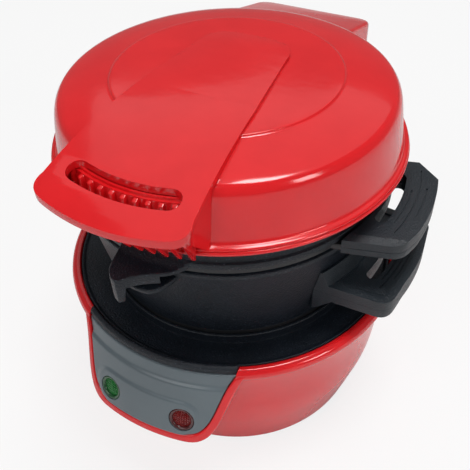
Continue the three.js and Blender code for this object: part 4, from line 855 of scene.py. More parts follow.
@dataclass
class Base:
    """Base housing with its chin, panel, two lights, drip tray and lower heating plate."""

    wall: float = 2.6
    mouth_radius: float = 75.5
    ledge_radius: float = 72.84
    wall_line: tuple[Point, ...] = (
        (65.3, 3.0), (67.36, 10.5), (70.0, 20.7), (72.4, 30.5), (73.6, 40.3), (74.3, 50.5),
        (75.5, 60.7), (77.35, 70.9),
    )
    chin_half_width: float = 40.6
    chin_foot: float = 41.3
    chin_head: float = 75.4
    chin_lean: float = 0.3636
    chin_head_radius: float = 78.8
    frame_width: float = 3.6
    frame_proud: float = 1.2
    frame_clearance: float = 0.3
    panel_thickness: float = 2.0
    above_rim: float = 82.0
    field_top: float = 69.4
    field_rise: float = 1.0
    pill_rise: float = 0.8
    pill_middle: Point = (-0.5, 53.2)
    pill_half_length: float = 18.0
    pill_radius: float = 8.3
    light_x: float = 18.0
    light_height: float = 52.5
    light_hole: float = 5.8
    lens_radius: float = 4.55
    lens_crown: float = 1.2
    lens_fall: float = 0.045
    grid_pitch: float = 1.05
    grid_depth: float = 0.5
    grid_radius: float = 3.9
    grid_share: float = 0.3
    pillar_half_width: float = 27.0
    pillar_rear: float = 91.0
    pillar_corner: float = 7.0
    socket_half_width: float = 17.7
    cord_hole: float = 4.2
    lip_half_width: float = 36.7
    foot_circle: float = 62.4 * 0.76
    lights: tuple[Light, ...] = (
        Light(-1, "ready", "green_lens", GREEN_RIM_PAINTED_SHADE),
        Light(1, "power", "red_lens", RED_RIM_PAINTED_SHADE),
    )

    def face(self, height: float, out: float) -> float:
        """Return the radius of the chin's leaning face at a height."""
        return self.chin_head_radius + (self.chin_head - height) * self.chin_lean + out

    def chin_outline(self, inset: float, head: float) -> list[Point]:
        """Outline the chin from the front, as x and height.

        Args:
            inset: how far inside the frame's outer edge.
            head: height of its upper edge.

        Returns:
            The points of the closed outline.
        """
        half, foot = self.chin_half_width - inset, self.chin_foot + inset

        def at(across: float, up: float) -> Point:
            """Place a point by its shares of the half width and of the height."""
            return half * across, mix(foot, self.chin_head, up)

        side = flowing([at(1.0, 1.0), at(0.925, 0.78), at(0.865, 0.5)], 5)
        side += curve(at(0.865, 0.5), at(0.8, 0.15), at(0.72, 0.0), at(0.5, 0.0))[1:]
        right = side if head <= self.chin_head else [(half, head), *side]
        if head < self.chin_head:
            right = [(right[0][0], head), *[point for point in right if point[1] < head]]
        return [*right, *[(-x, z) for x, z in reversed(right)]]

    def wrap(self, piece: bpy.types.Object) -> bpy.types.Object:
        """Wrap a flat piece around the chin's leaning face.

        Args:
            piece: the piece, with its depth along Y.

        Returns:
            The wrapped piece.
        """
        def place(spot: Vector) -> Spot:
            """Carry a spot from the flat face to the leaning one."""
            radius = self.face(spot.z, -spot.y)
            return spot.x, -math.sqrt(max(radius ** 2 - spot.x ** 2, 1.0)), spot.z

        return drape(piece, place)

    def chin_tool(self, name: str, depth: float) -> bpy.types.Object:
        """Make the flat tool that opens the chin's frame for the panel."""
        outline = self.chin_outline(self.frame_width, self.above_rim)
        return slab(name, outline, self.panel_thickness + self.frame_clearance, -depth, Plane.FRONT)

    def light_axis(self, side: int) -> tuple[Vector, Vector]:
        """Find where a light stands on the chin's face, and which way it looks.

        Args:
            side: -1 for the left light, 1 for the right one.

        Returns:
            The light's middle and its direction.
        """
        lean = math.atan(self.chin_lean)
        reach = self.face(self.light_height, 0.0)
        middle = Vector((side * self.light_x, -math.sqrt(reach ** 2 - self.light_x ** 2), 0.0))
        out = middle.normalized() * math.cos(lean)
        out.z = math.sin(lean)
        middle.z = self.light_height
        return middle, out

    def light_rod(self, name: str, side: int, radius: float, start: float, end: float) -> bpy.types.Object:
        """Make a rod square to the chin's face, through one of the lights.

        Args:
            name: its name.
            side: -1 for the left light, 1 for the right one.
            radius: its radius.
            start: how far out of the face it starts.
            end: how far out of the face it ends.

        Returns:
            The rod.
        """
        middle, out = self.light_axis(side)
        return rod(name, radius, tuple(middle + out * start), tuple(middle + out * end), 48)

    def light_place(self, side: int) -> Matrix:
        """Work out how a lens, made flat on the table, comes to stand on the chin's face.

        Args:
            side: -1 for the left light, 1 for the right one.

        Returns:
            The matrix that moves it there.
        """
        middle, out = self.light_axis(side)
        across = Vector((0.0, 0.0, 1.0)).cross(out).normalized()
        stand = Matrix((across, out.cross(across), out)).transposed().to_4x4()
        return Matrix.Translation(middle) @ stand

    def housing(self) -> None:
        """Build the red housing: a turned wall with a rolled rim, the chin's frame and the pillar."""
        outer = flowing(self.wall_line, 5)
        inner = [(radius - self.wall, height) for radius, height in flowing(self.wall_line[:-1], 5)]
        bead = flowing([
            (77.2, 71.0), (78.5, 71.3), (79.6, 72.6), (LEVELS.rim_radius, 74.4), (79.4, 76.2),
            (78.0, 77.35), (76.9, LEVELS.rim), (75.9, 77.2), (self.mouth_radius, 76.4),
        ], 4)
        ledge = [(self.mouth_radius, LEVELS.ledge), (self.ledge_radius, LEVELS.ledge)]
        shell = spin("housing_moulding", [*outer, *bead, *ledge, *reversed(inner)])
        floor, above = 2.0, 80.0
        hollow_line = [
            (0, floor), (inner[0][0], floor), *inner, *reversed(ledge),
            (self.mouth_radius, above), (0, above),
        ]
        chin = slab("chin", self.chin_outline(0.0, self.chin_head), 30.0, -self.frame_proud, Plane.FRONT)
        cut(chin, self.chin_tool("recess", 4.0))
        bevel(chin, 1.3, 50, 4)
        slice_along(chin, 0, -39.0, 39.0, 3.0)
        self.wrap(chin)
        cut(chin, spin("chin_hollow", hollow_line, 96))
        half, rear, corner = self.pillar_half_width, self.pillar_rear, self.pillar_corner
        pillar = slab("pillar", rounded([
            (-half, 30.0), (half, 30.0), (half, rear, corner), (-half, rear, corner),
        ], 8), LEVELS.foot, self.chin_head)
        bevel(pillar, 1.0, 60, 3)
        cut(pillar, spin("pillar_hollow", hollow_line, 96))
        socket = self.socket_half_width
        cut(
            pillar,
            box("tower_socket", (-socket, 81.2, 61.0), (socket, 89.8, 78.0)),
            rod("cord_hole", self.cord_hole, (0, 86, 17), (0, 95, 17)),
        )
        combine(shell, chin, pillar)
        gap = self.chin_tool("bead_gap", 6.0)
        slice_along(gap, 0, -36.0, 36.0, 3.0)
        slice_along(gap, 2, 46.0, 80.0, 3.0)
        cut(shell, self.wrap(gap))
        room = slab("room", self.chin_outline(2.6, 60.0), 40.0, 4.9, Plane.FRONT)
        slice_along(room, 0, -37.0, 37.0, 4.0)
        cut(shell, self.wrap(room))
        for light in self.lights:
            cut(shell, self.light_rod("lamp_hole", light.side, 2.8, -12.0, 3.0))
        settle(shell, "base", "red_plastic", "base_housing")

    def relief(self, spot: Vector) -> float:
        """Shape the panel's face: a raised field and a pill on it.

        Args:
            spot: a spot of the flat panel.

        Returns:
            How far the face stands out there.
        """
        x, z = self.pill_middle
        along = max(0.0, abs(spot.x - x) - self.pill_half_length)
        edge = self.pill_radius - math.hypot(along, spot.z - z)
        field = ease((self.field_top + 0.6 - spot.z) / 1.5)
        pill = ease((edge + 0.5) / 1.4)
        return self.field_rise * field + self.pill_rise * pill

    def panel(self) -> None:
        """Build the grey panel: a leaning face with a raised field and a raised pill round the lights."""
        head = self.chin_head - self.frame_clearance
        outline = self.chin_outline(self.frame_width + self.frame_clearance, head)
        plate = slab("panel_moulding", outline, self.panel_thickness, 0.0, Plane.FRONT)
        bevel(plate, 0.4, 60, 2)
        slice_along(plate, 0, -36.0, 36.0, 1.0)
        slice_along(plate, 2, 46.0, 74.5, 0.55)

        def place(spot: Vector) -> Spot:
            """Raise the front of the flat panel and leave its back."""
            out = self.relief(spot) if spot.y < 0.5 else 0.0
            return spot.x, spot.y - out, spot.z

        drape(plate, place)
        self.wrap(plate)
        for light in self.lights:
            cut(plate, self.light_rod("lens_hole", light.side, self.light_hole, -9.0, 3.0))
        settle(plate, "base", "grey_panel", "control_panel", angle=28)

    def light_ring(self, light: Light) -> None:
        """Build the ring around one lens, in a darker copy of the lens colour that paints the shade at the
        lens's edge.

        Args:
            light: the light that it belongs to.
        """
        ring = spin(f"{light.name}_light_ring", flowing([
            (4.1, -1.8), (4.1, 0.4), (4.5, 1.25), (5.2, 1.5), (5.6, 1.1), (5.7, 0.2), (5.7, -1.8),
        ], 4), 64)
        stand = self.light_place(light.side)
        drape(ring, lambda spot: tuple(stand @ spot))
        # The ring's finish is painted shade: a darker copy of the lens colour.
        settle(ring, "base", light.slot, finish=light.rim)

    def lens(self, light: Light) -> None:
        """Build one domed lens with a grid in its face.

        Args:
            light: the light that it belongs to.
        """
        bpy.ops.object.select_all(action="DESELECT")
        bpy.ops.mesh.primitive_grid_add(x_subdivisions=54, y_subdivisions=54, size=9.2)
        piece = named(f"{light.name}_lens_grid")
        bpy.ops.object.mode_set(mode="EDIT")
        bpy.ops.mesh.select_all(action="DESELECT")
        bpy.ops.object.mode_set(mode="OBJECT")
        for vertex in piece.data.vertices:
            vertex.select = vertex.co.xy.length > self.lens_radius
        bpy.ops.object.mode_set(mode="EDIT")
        bpy.ops.mesh.delete(type="VERT")
        bpy.ops.mesh.select_all(action="SELECT")
        bpy.ops.mesh.extrude_region_move(TRANSFORM_OT_translate={"value": (0, 0, 0)})
        bpy.ops.transform.translate(value=(0, 0, 1.5))
        close_up()

        def place(spot: Vector) -> Spot:
            """Dome the upper face, press the grid into it and set the lower face level.

            Args:
                spot: a spot of the flat lens.

            Returns:
                Its new place.
            """
            if spot.z < 0.75:
                return spot.x, spot.y, -1.6
            reach = spot.xy.length
            dome = self.lens_crown - self.lens_fall * reach ** 2
            wave = max(math.cos(2 * math.pi * part / self.grid_pitch) for part in (spot.x, spot.y))
            share = max(0.0, wave - self.grid_share)
            groove = self.grid_depth * share / 0.7 if reach < self.grid_radius else 0.0
            return spot.x, spot.y, dome - groove

        drape(piece, place)
        stand = self.light_place(light.side)
        drape(piece, lambda spot: tuple(stand @ spot))
        settle(piece, "base", light.slot, f"{light.name}_light_lens", angle=50)

    def tray(self) -> None:
        """Build the drip tray, its front lip and the lower heating plate."""
        tray = spin("tray_moulding", [
            (75.2, 72.3), *flowing([(75.2, 76.0), (75.0, 76.7), (74.4, 76.8), (73.7, 76.3)], 4),
            *flowing([(73.5, 75.9), (72.6, 75.5), (68.0, 74.7), (61.4, 73.3), (60.7, 73.4)], 5),
            (60.6, 77.6), (60.3, 77.9), (59.5, 77.9), (59.2, 77.6), (59.2, 74.5), (52.2, 74.5),
            (52.2, 73.1), (58.9, 73.1), (60.3, 71.9), (73.8, 74.2), (73.8, 72.3),
        ])
        settle(tray, "base", "coated_aluminium", "drip_tray", angle=40)
        lip = spin("tray_lip", [
            (75.8, 75.6), (78.4, 75.6),
            *flowing([(78.5, 76.8), (78.2, 78.0), (77.4, 78.8), (76.4, 78.9), (75.8, 78.3)], 4),
        ])
        half = self.lip_half_width
        combine(lip, box("lip_span", (-half, -90, 70), (half, -40, 84)), how="INTERSECT")
        bevel(lip, 0.25, 60, 2)
        settle(lip, "base", "coated_aluminium", "tray_front_lip")
        face = LEVELS.lower_plate
        plate = spin("lower_plate", [
            (0, 74.7), (58.4, 74.7), (58.9, 75.1), *flowing([(58.9, 79.0), (58.7, 79.5), (58.2, face)], 3),
            *flowing([(51.2, face), (50.6, 79.9), (50.2, 80.4), (49.6, 80.68), (48.8, 80.7)], 3), (0, 80.7),
        ])
        settle(plate, "base", "coated_plate", "lower_heating_plate")

    def feet(self) -> None:
        """Build the four rubber feet: one is turned, and the rest are its copies."""
        pad = spin("pad", [
            (0, 0.0), (6.6, 0.0), (7.2, 0.25), (7.4, 0.8), (7.4, 2.2), (7.1, 2.7), (6.6, 2.8), (2.6, 2.8),
            (2.6, 5.8), (0, 5.8),
        ], 48)
        corners = {"front_right": 40, "rear_right": 140, "rear_left": 220, "front_left": 320}
        for corner, angle in corners.items():
            x, y = polar(self.foot_circle, angle)
            foot = copy_of(pad, f"pad_{corner}")
            drape(foot, lambda spot: (spot.x + x, spot.y + y, spot.z))
            settle(foot, "base", "rubber", f"foot_{corner}")
        discard(pad)

    def build(self) -> None:
        """Build every piece of the base."""
        self.housing()
        self.panel()
        for light in self.lights:
            self.lens(light)
            self.light_ring(light)
        self.tray()
        self.feet()


@dataclass(frozen=True)
class HandleShape:
    """Outline of a side handle: a grip along an arc, whose ends run in to the ring."""

    near: tuple[Point, Point]
    far: tuple[Point, Point]
    slot_inner: float
    slot_start: float
    slot_end: float
    outer: float = LEVELS.handle_outer
    corner: float = 5.0
    run_in: float = 9.0
    steps: int = 22
    chamfer_length: float = 0.0
    chamfer_depth: float = 7.4
    slot_width: float = 5.0

    def outline(self) -> list[Point]:
        """Outline the handle, from its near end round the grip to its far end.

        Returns:
            The points of the closed outline.
        """
        (near_in, near_out), (far_in, far_out) = self.near, self.far
        near_angle, far_angle = (math.degrees(math.atan2(x, -y)) for x, y in (near_out, far_out))
        near_radius = math.hypot(*near_out)
        first = near_angle + degrees_of(self.corner, self.outer)
        last = far_angle - degrees_of(self.chamfer_length or self.corner, self.outer)

        def place(angle: float, share: float) -> Point:
            """Place a point of the grip, a share of the way out from the near end's radius."""
            return polar(mix(near_radius, self.outer, min(1.0, share)), angle)

        near_start = Vector(near_out) + (Vector(near_in) - Vector(near_out)).normalized() * self.corner
        near_end = place(first, (first - near_angle) / self.run_in)
        points = [near_in, *turn(near_start, near_out, near_end)[:-1]]
        grip = []
        for i in range(self.steps + 1):
            angle = mix(first, last, i / self.steps)
            share = (i + 1) / 4 if self.chamfer_length else (angle - near_angle) / self.run_in
            grip.append(place(angle, share))
        way = (Vector(far_in) - Vector(far_out)).normalized()
        if self.chamfer_length:
            return [*points, *grip, tuple(Vector(far_out) + way * self.chamfer_depth), far_in]
        return [*points, *grip[:-1], *turn(grip[-1], far_out, Vector(far_out) + way * self.corner), far_in]

    def slot(self, name: str, low: float, high: float) -> bpy.types.Object:
        """Make the tool that cuts the slot between the grip and the ring."""
        inner = self.slot_inner
        return slab(name, arc_slot(inner, inner + self.slot_width, self.slot_start, self.slot_end), low, high)


def draw_lines(piece: bpy.types.Object, lines: Sequence[Spot], top: float) -> None:
    """Cut fine lines along a grip.

    Args:
        piece: the upper half of the handle.
        lines: radius, first angle and last angle of each line.
        top: height of the face that they are cut in.
    """
    half_width, depth = 0.35, 0.45
    for radius, start, end in lines:
        outline = arc_slot(radius - half_width, radius + half_width, start, end, 14)
        cut(piece, slab("grip_line", outline, top - depth, top + 3))


def tongue(name: str, angle: float, spread: float, outer: float, low: float, high: float) -> bpy.types.Object:
    """Make a flat tongue that reaches out from a ring, or the pocket for it.

    Args:
        name: its name.
        angle: angle of its middle.
        spread: half of the angle that it takes up.
        outer: radius of its end.
        low: its lower face.
        high: its upper face.

    Returns:
        The tongue.
    """
    inner = arc(LEVELS.tongue_inner, angle - spread, angle + spread, 2)
    return slab(name, [*inner, *arc(outer, angle + spread, angle - spread, 2)], low, high)


def sink_screws(piece: bpy.types.Object, angles: Sequence[float], foot: float) -> None:
    """Cut the wells of a handle's screws, from below.

    Args:
        piece: the lower half of the handle.
        angles: angle of each screw.
        foot: height of the half's lower face.
    """
    for angle in angles:
        place = polar(LEVELS.screw_radius, angle)
        cut(piece, post("screw_well", LEVELS.screw_well, place, foot - 20, foot + 1.3, 24))


@dataclass
class Cup:
    """Bottom ring with its front tab, its hinge arms and its handle."""

    part: float = 98.8
    upper: float = 4.4
    lower: float = 4.2
    foot_bore: float = 56.1
    mouth_bore: float = 63.9
    band_height: float = 2.6
    wall: float = 3.4
    middle_angle: float = 87.0
    near_line: tuple[Point, Point] = ((54.0, -32.3), (85.2, -31.6))
    recess_line: float = -28.2
    recess_inner: float = 68.6
    recess_outer: float = 86.0
    recess_depth: float = 0.8
    screw_angles: Point = (70.25, 103.75)
    lines: tuple[Spot, ...] = ((80.5, 77.0, 97.0), (82.4, 73.5, 100.5), (84.3, 79.0, 95.0))

    def across(self, point: Point) -> Point:
        """Mirror a point about the middle of the handle."""
        angle = math.degrees(math.atan2(point[0], -point[1]))
        return polar(math.hypot(*point), 2 * self.middle_angle - angle)

    @property
    def shape(self) -> HandleShape:
        """Outline of the handle, the same at both ends.

        Returns:
            The outline's sizes.
        """
        near_in, near_out = self.near_line
        far = self.across(near_in), self.across(near_out)
        return HandleShape(self.near_line, far, 73.6, 75.0, 99.0)

    def wall_radius(self, height: float) -> float:
        """Return the outer radius of the tapered wall at a height."""
        return mix(LEVELS.cup_foot_radius, 66.6, (height - LEVELS.cup_foot) / 39.4)

    def tab(self) -> bpy.types.Object:
        """Build the small tab at the front of the ring's mouth.

        Returns:
            The tab.
        """
        mouth = LEVELS.cup_mouth
        tab = slab("cup_tab", rounded([
            (-10.6, -62.0), (-10.6, -67.2, 6.0), (-6.6, -77.2, 5.4),
            (6.6, -77.2, 5.4), (10.6, -67.2, 6.0), (10.6, -62.0),
        ], 8), mouth - 5.8, mouth - 3.4)
        bevel(tab, 0.7, 50, 3)
        return tab

    def arm(self, side: int) -> bpy.types.Object:
        """Build one of the two hinge arms.

        Args:
            side: -1 for the left arm, 1 for the right one.

        Returns:
            The arm.
        """
        low, high = sorted((side * 5.6, side * 9.6))
        knuckle, mouth = LEVELS.knuckle, LEVELS.cup_mouth
        foot = mouth - self.band_height - knuckle
        reach, pin = LEVELS.pin_reach, LEVELS.pin
        arm = slab("cup_arm", rounded([
            (64.0, foot, 1.0), (LEVELS.cup_mouth_radius + knuckle, foot, 3.0),
            (reach + knuckle * 0.6, pin - knuckle * 0.8, 2.0),
            (reach - knuckle * 0.7, pin + knuckle * 0.7, 2.0),
            (69.0, mouth - 0.6, 2.0), (64.0, mouth - 0.6),
        ]), low, high, Plane.SIDE)
        combine(arm, pin_rod("cup_knuckle", knuckle, low, high, 40))
        bevel(arm, 0.4, 50, 2)
        return arm

    def ring(self) -> None:
        """Build the cup wall, the front tab and the two hinge arms."""
        mouth, foot, rim = LEVELS.cup_mouth, LEVELS.cup_foot, LEVELS.cup_mouth_radius
        band = mouth - self.band_height
        bore = [(self.foot_bore, foot + 0.6), (self.wall_radius(band) - self.wall, band - 1.5)]
        wall = spin("cup_wall", [
            (59.2, foot), (59.6, foot + 0.5), (self.wall_radius(foot + 2), foot + 2),
            *flowing([
                (self.wall_radius(band - 0.6), band - 0.6), (66.7, band - 0.1), (67.15, band + 0.4),
                (rim, band + 1.0),
            ], 3),
            *flowing([(rim, mouth - 0.7), (67.0, mouth - 0.2), (66.5, mouth)], 3),
            *flowing([(64.6, mouth), (64.1, mouth - 0.2), (self.mouth_bore, mouth - 0.7)], 3),
            *reversed(bore), (56.3, foot),
        ])
        bowl = spin("bowl", [
            (0, foot - 2), (55.6, foot - 2), *bore,
            (self.mouth_bore, mouth - 0.7), (self.mouth_bore, mouth + 3), (0, mouth + 3),
        ], 96)
        extras = [self.tab(), self.arm(-1), self.arm(1)]
        for angle in self.screw_angles:
            extras.append(tongue(
                "cup_tongue", angle, 2.0, LEVELS.tongue_reach, self.part - 1.2, self.part + 1.2,
            ))
        combine(wall, *extras)
        cut(wall, bowl, pin_rod("cup_bore", LEVELS.pin_bore, -20, 20))
        settle(wall, "bottom_ring", "coated_aluminium", "bottom_ring")

    def half(self, name: str, low: float, high: float, collar: Sequence[Point]) -> bpy.types.Object:
        """Build one half of the handle, with its share of the collar that hugs the ring.

        Args:
            name: its name.
            low: its lower face.
            high: its upper face.
            collar: radius and height of each point of the collar's section.

        Returns:
            The half, before its edges are cut.
        """
        near_in, near_out = self.near_line
        way = (Vector(near_out) - Vector(near_in)).normalized()
        reach = tuple(Vector(near_in) + way * 22)
        hug = spin("collar", collar, 144)
        combine(hug, slab("collar_span", [
            near_in, reach, self.across(reach), self.across(near_in), (20.0, 0.0),
        ], 70, 120), how="INTERSECT")
        grip = combine(slab(name, self.shape.outline(), low, high), hug)
        wall = [
            (0, LEVELS.cup_foot - 3), (59.5, LEVELS.cup_foot - 3), (59.5, LEVELS.cup_foot),
            (67.4, LEVELS.cup_mouth), (0, LEVELS.cup_mouth),
        ]
        return cut(grip, spin("ring_room", wall, 144))

    def handle(self) -> None:
        """Build the two halves of the cup's handle."""
        part, top, foot = self.part, self.part + self.upper, self.part - self.lower
        inner, outer = 58.0, 70.0
        upper = self.half("cup_grip_upper", part, top, [
            (inner, part), (outer, part), (outer, top - 0.2), (68.2, top), (65.8, part + 10.8),
            (inner, part + 10.8),
        ])
        bevel(upper, 0.9, 42, 4)
        radii = (self.recess_inner, self.recess_outer)
        angles = [math.degrees(math.acos(-self.recess_line / radius)) for radius in radii]
        mirrored = [2 * self.middle_angle - angle for angle in angles]
        floor = top - self.recess_depth
        recess = slab("grip_recess", [
            *arc(self.recess_inner, mirrored[0], angles[0], 20),
            *arc(self.recess_outer, angles[1], mirrored[1], 20),
        ], floor, top + 2)
        cut(upper, recess, self.shape.slot("grip_slot", part - 20, part + 30))
        bevel(upper, 0.25, 50, 2)
        draw_lines(upper, self.lines, floor)
        settle(upper, "bottom_ring", "black_plastic", "ring_handle_upper")
        lower = self.half("cup_grip_lower", foot, part - 0.1, [
            (inner, part - 12.6), (61.6, part - 12.6), (64.6, part - 10.2), (outer, foot),
            (outer, part - 0.1), (inner, part - 0.1),
        ])
        bevel(lower, 0.6, 42, 3)
        cut(lower, self.shape.slot("grip_slot_lower", part - 20, part + 30))
        sink_screws(lower, self.screw_angles, foot)
        settle(lower, "bottom_ring", "black_plastic", "ring_handle_lower")

    def build(self) -> None:
        """Build the bottom ring and its handle."""
        self.ring()
        self.handle()


@dataclass
class EggRing:
    """Top ring with its flat lift tab, the lug for the plate's pin and the middle knuckle."""

    tab_depth: float = 5.4
    tab_level: float = 1.5
    tab_rise: float = 1.5
    beak_drop: float = 6.6
    beak_thickness: float = 3.0
    beak_line: tuple[Point, ...] = ((-11.0, -75.6), (-9.6, -79.6), (-6.8, -82.9), (-3.9, -84.4))
    tab_flank: tuple[Point, ...] = (
        (18.6, -60.5), (17.1, -65.3), (14.7, -68.9), (11.6, -72.4), (6.0, -75.8), (1.4, -79.0),
        (-2.6, -83.4),
    )
    swing_reach: float = 139.3

    def tab(self) -> bpy.types.Object:
        """Build the lift tab: a flat plate whose outer left edge turns down into a beak.

        Returns:
            The tab, clear of the room that the swinging plate needs.
        """
        radius, foot, depth = LEVELS.egg_ring_radius, LEVELS.egg_ring_foot, self.tab_depth
        level = foot + self.tab_level
        (start_x, start_y), (tip_x, tip_y) = self.beak_line[0], self.beak_line[-1]
        along = Vector((tip_x - start_x, tip_y - start_y))
        inward = Vector((-along.y, along.x)).normalized()

        def top(reach: float) -> float:
            """Return the height of the upper face, which flows into the ring's flange."""
            return level + self.tab_rise * ease((radius + 3.5 - reach) / 5)

        def under(spot: Vector, reach: float) -> float:
            """Work out the height of the lower face, with the beak at its outer left edge.

            Args:
                spot: a spot of the flat tab.
                reach: its distance from the cooking axis.

            Returns:
                The height.
            """
            offset = Vector((spot.x - start_x, spot.y - start_y))
            beak = self.beak_drop * ease(offset.dot(along) / along.length_squared) ** 0.8
            near = ease((self.beak_thickness - offset.dot(inward)) / 1.2 + 0.5)
            return level - depth + depth * 0.72 * ease((radius + 2.0 - reach) / 1.5) - beak * near

        def place(spot: Vector) -> Spot:
            """Shape the flat tab's upper and lower face.

            Args:
                spot: a spot of the flat tab.

            Returns:
                Its new place.
            """
            reach = math.hypot(spot.x, spot.y)
            base = top(reach) - depth if spot.z > depth / 2 else under(spot, reach)
            return spot.x, spot.y, base + spot.z

        outline = [*flowing(self.tab_flank), *flowing(self.beak_line[::-1]), (-12.3, -70.0), (-12.6, -60.5)]
        tab = slab("lift_tab", outline, 0.0, depth)
        bevel(tab, 0.9, 50, 3)
        slice_along(tab, 0, -13.0, 20.0, 0.8)
        slice_along(tab, 1, -85.0, -60.0, 0.8)
        drape(tab, place)
        return cut(tab, post("swing_room", self.swing_reach, LEVELS.pivot, 100.0, foot, 256))

    def ring(self) -> None:
        """Build the ring."""
        foot, mouth = LEVELS.egg_ring_foot, LEVELS.egg_ring_mouth
        radius, neck, bore = LEVELS.egg_ring_radius, LEVELS.egg_ring_neck, LEVELS.egg_ring_bore
        wall = spin("egg_ring_wall", [
            (bore + 1.5, foot), (radius - 0.4, foot), (radius, foot + 0.4),
            *flowing([(radius, foot + 2.2), (radius - 0.2, foot + 2.7), (radius - 0.8, foot + 3.0)], 3),
            *flowing([(neck + 1.6, foot + 3.05), (neck + 1.1, foot + 3.3), (neck + 0.9, foot + 4.0)], 3),
            (neck + 0.1, mouth - 0.6), (neck - 0.5, mouth), (bore + 0.4, mouth), (bore, mouth - 0.4),
            (bore + 1.1, foot + 0.5),
        ])
        hole = spin("egg_ring_hole", [
            (0, foot - 12), (bore + 1.4, foot - 12), (bore + 1.1, foot + 0.5), (bore, mouth),
            (bore, mouth + 3), (0, mouth + 3),
        ], 96)
        lug = post("egg_ring_lug", 6.4, LEVELS.pivot, foot, foot + 7, 40)
        bevel(lug, 0.6, 50, 3)
        reach, pin, round_off, half = LEVELS.pin_reach, LEVELS.pin, LEVELS.knuckle, 4.8
        knuckle = slab("egg_ring_knuckle", [
            (62.0, foot + 0.6), (reach, pin - 2.5), (reach, pin + round_off), (62.0, pin + round_off),
        ], -half, half, Plane.SIDE)
        combine(knuckle, pin_rod("knuckle_round", round_off, -half, half, 40))
        bevel(knuckle, 0.4, 50, 2)
        combine(wall, self.tab(), lug, knuckle)
        cut(
            wall, hole, pin_rod("ring_bore", LEVELS.pin_bore, -20, 20),
            post("pivot_bore", LEVELS.pivot_bore, LEVELS.pivot, 110, 160),
        )
        settle(wall, "top_ring", "coated_aluminium", "top_ring")

    def build(self) -> None:
        """Build the top ring."""
        self.ring()


@dataclass
class SwingPlate:
    """Cooking plate between the rings, with its handle."""

    radius: float = 66.5
    edge: float = 0.4
    dish_depth: float = 0.8
    upper: float = 4.9
    lower: float = 3.0
    end_chamfer: Point = (3.0, 1.2)
    tongue_angles: Point = (74.8, 108.2)
    lines: tuple[Spot, ...] = ((79.2, 80.5, 97.0), (82.0, 77.0, 107.0), (84.9, 86.0, 99.0))
    shape: HandleShape = HandleShape(
        ((62.6, -29.4), (85.2, -23.4)),
        (polar(LEVELS.handle_inner, 112.0), polar(LEVELS.handle_outer, 110.5)),
        71.2, 78.6, 104.4, chamfer_length=10.6,
    )

    def plate(self) -> None:
        """Build the dished plate with its lug and tongues."""
        foot, top = LEVELS.dish_foot, LEVELS.dish_top
        radius, edge, dish = self.radius, self.edge, top - self.dish_depth
        disc = spin("swing_plate_disc", [
            (0, foot), (radius - edge, foot), (radius, foot + edge),
            (radius, top - edge), (radius - edge, top),
            *flowing([(62.2, top), (61.6, top - 0.15), (61.0, top - 0.6), (60.2, dish)], 3), (0, dish),
        ])
        lug = post("plate_lug", 6.4, LEVELS.pivot, foot, top, 40)
        neck = slab("plate_neck", [*arc(62.0, 144.9, 155.1, 4), *arc(72.2, 155.1, 144.9, 4)], foot, top)
        combine(disc, lug, neck)
        for angle in self.tongue_angles:
            combine(disc, tongue("plate_tongue", angle, 2.0, LEVELS.tongue_reach, foot, top))
        ear = slab("plate_ear", rounded([
            (46.0, -20.0), (56.4, -31.1, 0.8), (68.9, -27.6), (69.4, -18.0),
        ]), foot, top)
        bevel(ear, 0.35, 50, 2)
        combine(disc, ear)
        cut(disc, post("plate_bore", LEVELS.pivot_bore, LEVELS.pivot, 110, 160))
        settle(disc, "cooking_plate", "coated_plate", "cooking_plate")

    def handle(self) -> None:
        """Build the two halves of the plate's handle."""
        part = (LEVELS.dish_foot + LEVELS.dish_top) / 2
        top, foot = part + self.upper, part - self.lower
        (start_x, start_y), end = self.shape.near
        along = (Vector(end) - Vector((start_x, start_y))).normalized()
        upper = self.half("plate_grip_upper", part + 0.1, top)
        width, drop = self.end_chamfer
        wedge = slab("end_wedge", [
            (-3.0, top - drop * 2), (width, top), (width, top + 3), (-3.0, top + 3),
        ], -20.0, 40.0, Plane.SIDE)

        def place(spot: Vector) -> Spot:
            """Lay the wedge along the near end of the handle."""
            x = start_x + along.x * spot.x - along.y * spot.y
            return x, start_y + along.y * spot.x + along.x * spot.y, spot.z

        cut(upper, drape(wedge, place))
        bevel(upper, 0.8, 18, 4)
        draw_lines(upper, self.lines, top)
        self.pockets(upper, part)
        settle(upper, "cooking_plate", "black_plastic", "plate_handle_upper")
        lower = self.half("plate_grip_lower", foot, part - 0.1)
        bevel(lower, 0.6, 40, 3)
        self.pockets(lower, part)
        sink_screws(lower, self.tongue_angles, foot)
        settle(lower, "cooking_plate", "black_plastic", "plate_handle_lower")

    def half(self, name: str, low: float, high: float) -> bpy.types.Object:
        """Build one half of the handle, clear of the rings and with its slot.

        Args:
            name: its name.
            low: its lower face.
            high: its upper face.

        Returns:
            The half, before its edges are cut.
        """
        grip = slab(name, self.shape.outline(), low, high)
        room = slab("plate_room", arc(LEVELS.handle_inner, 0, 354, 118), low - 3, high + 3)
        return cut(grip, room, self.shape.slot("plate_grip_slot", low - 3, high + 3))

    def pockets(self, half: bpy.types.Object, part: float) -> None:
        """Open the pockets for the plate's two tongues."""
        for angle in self.tongue_angles:
            cut(half, tongue("tongue_pocket", angle, 2.3, 78.4, part - 1.75, part + 1.75))

    def build(self) -> None:
        """Build the plate and its handle."""
        self.plate()
        self.handle()


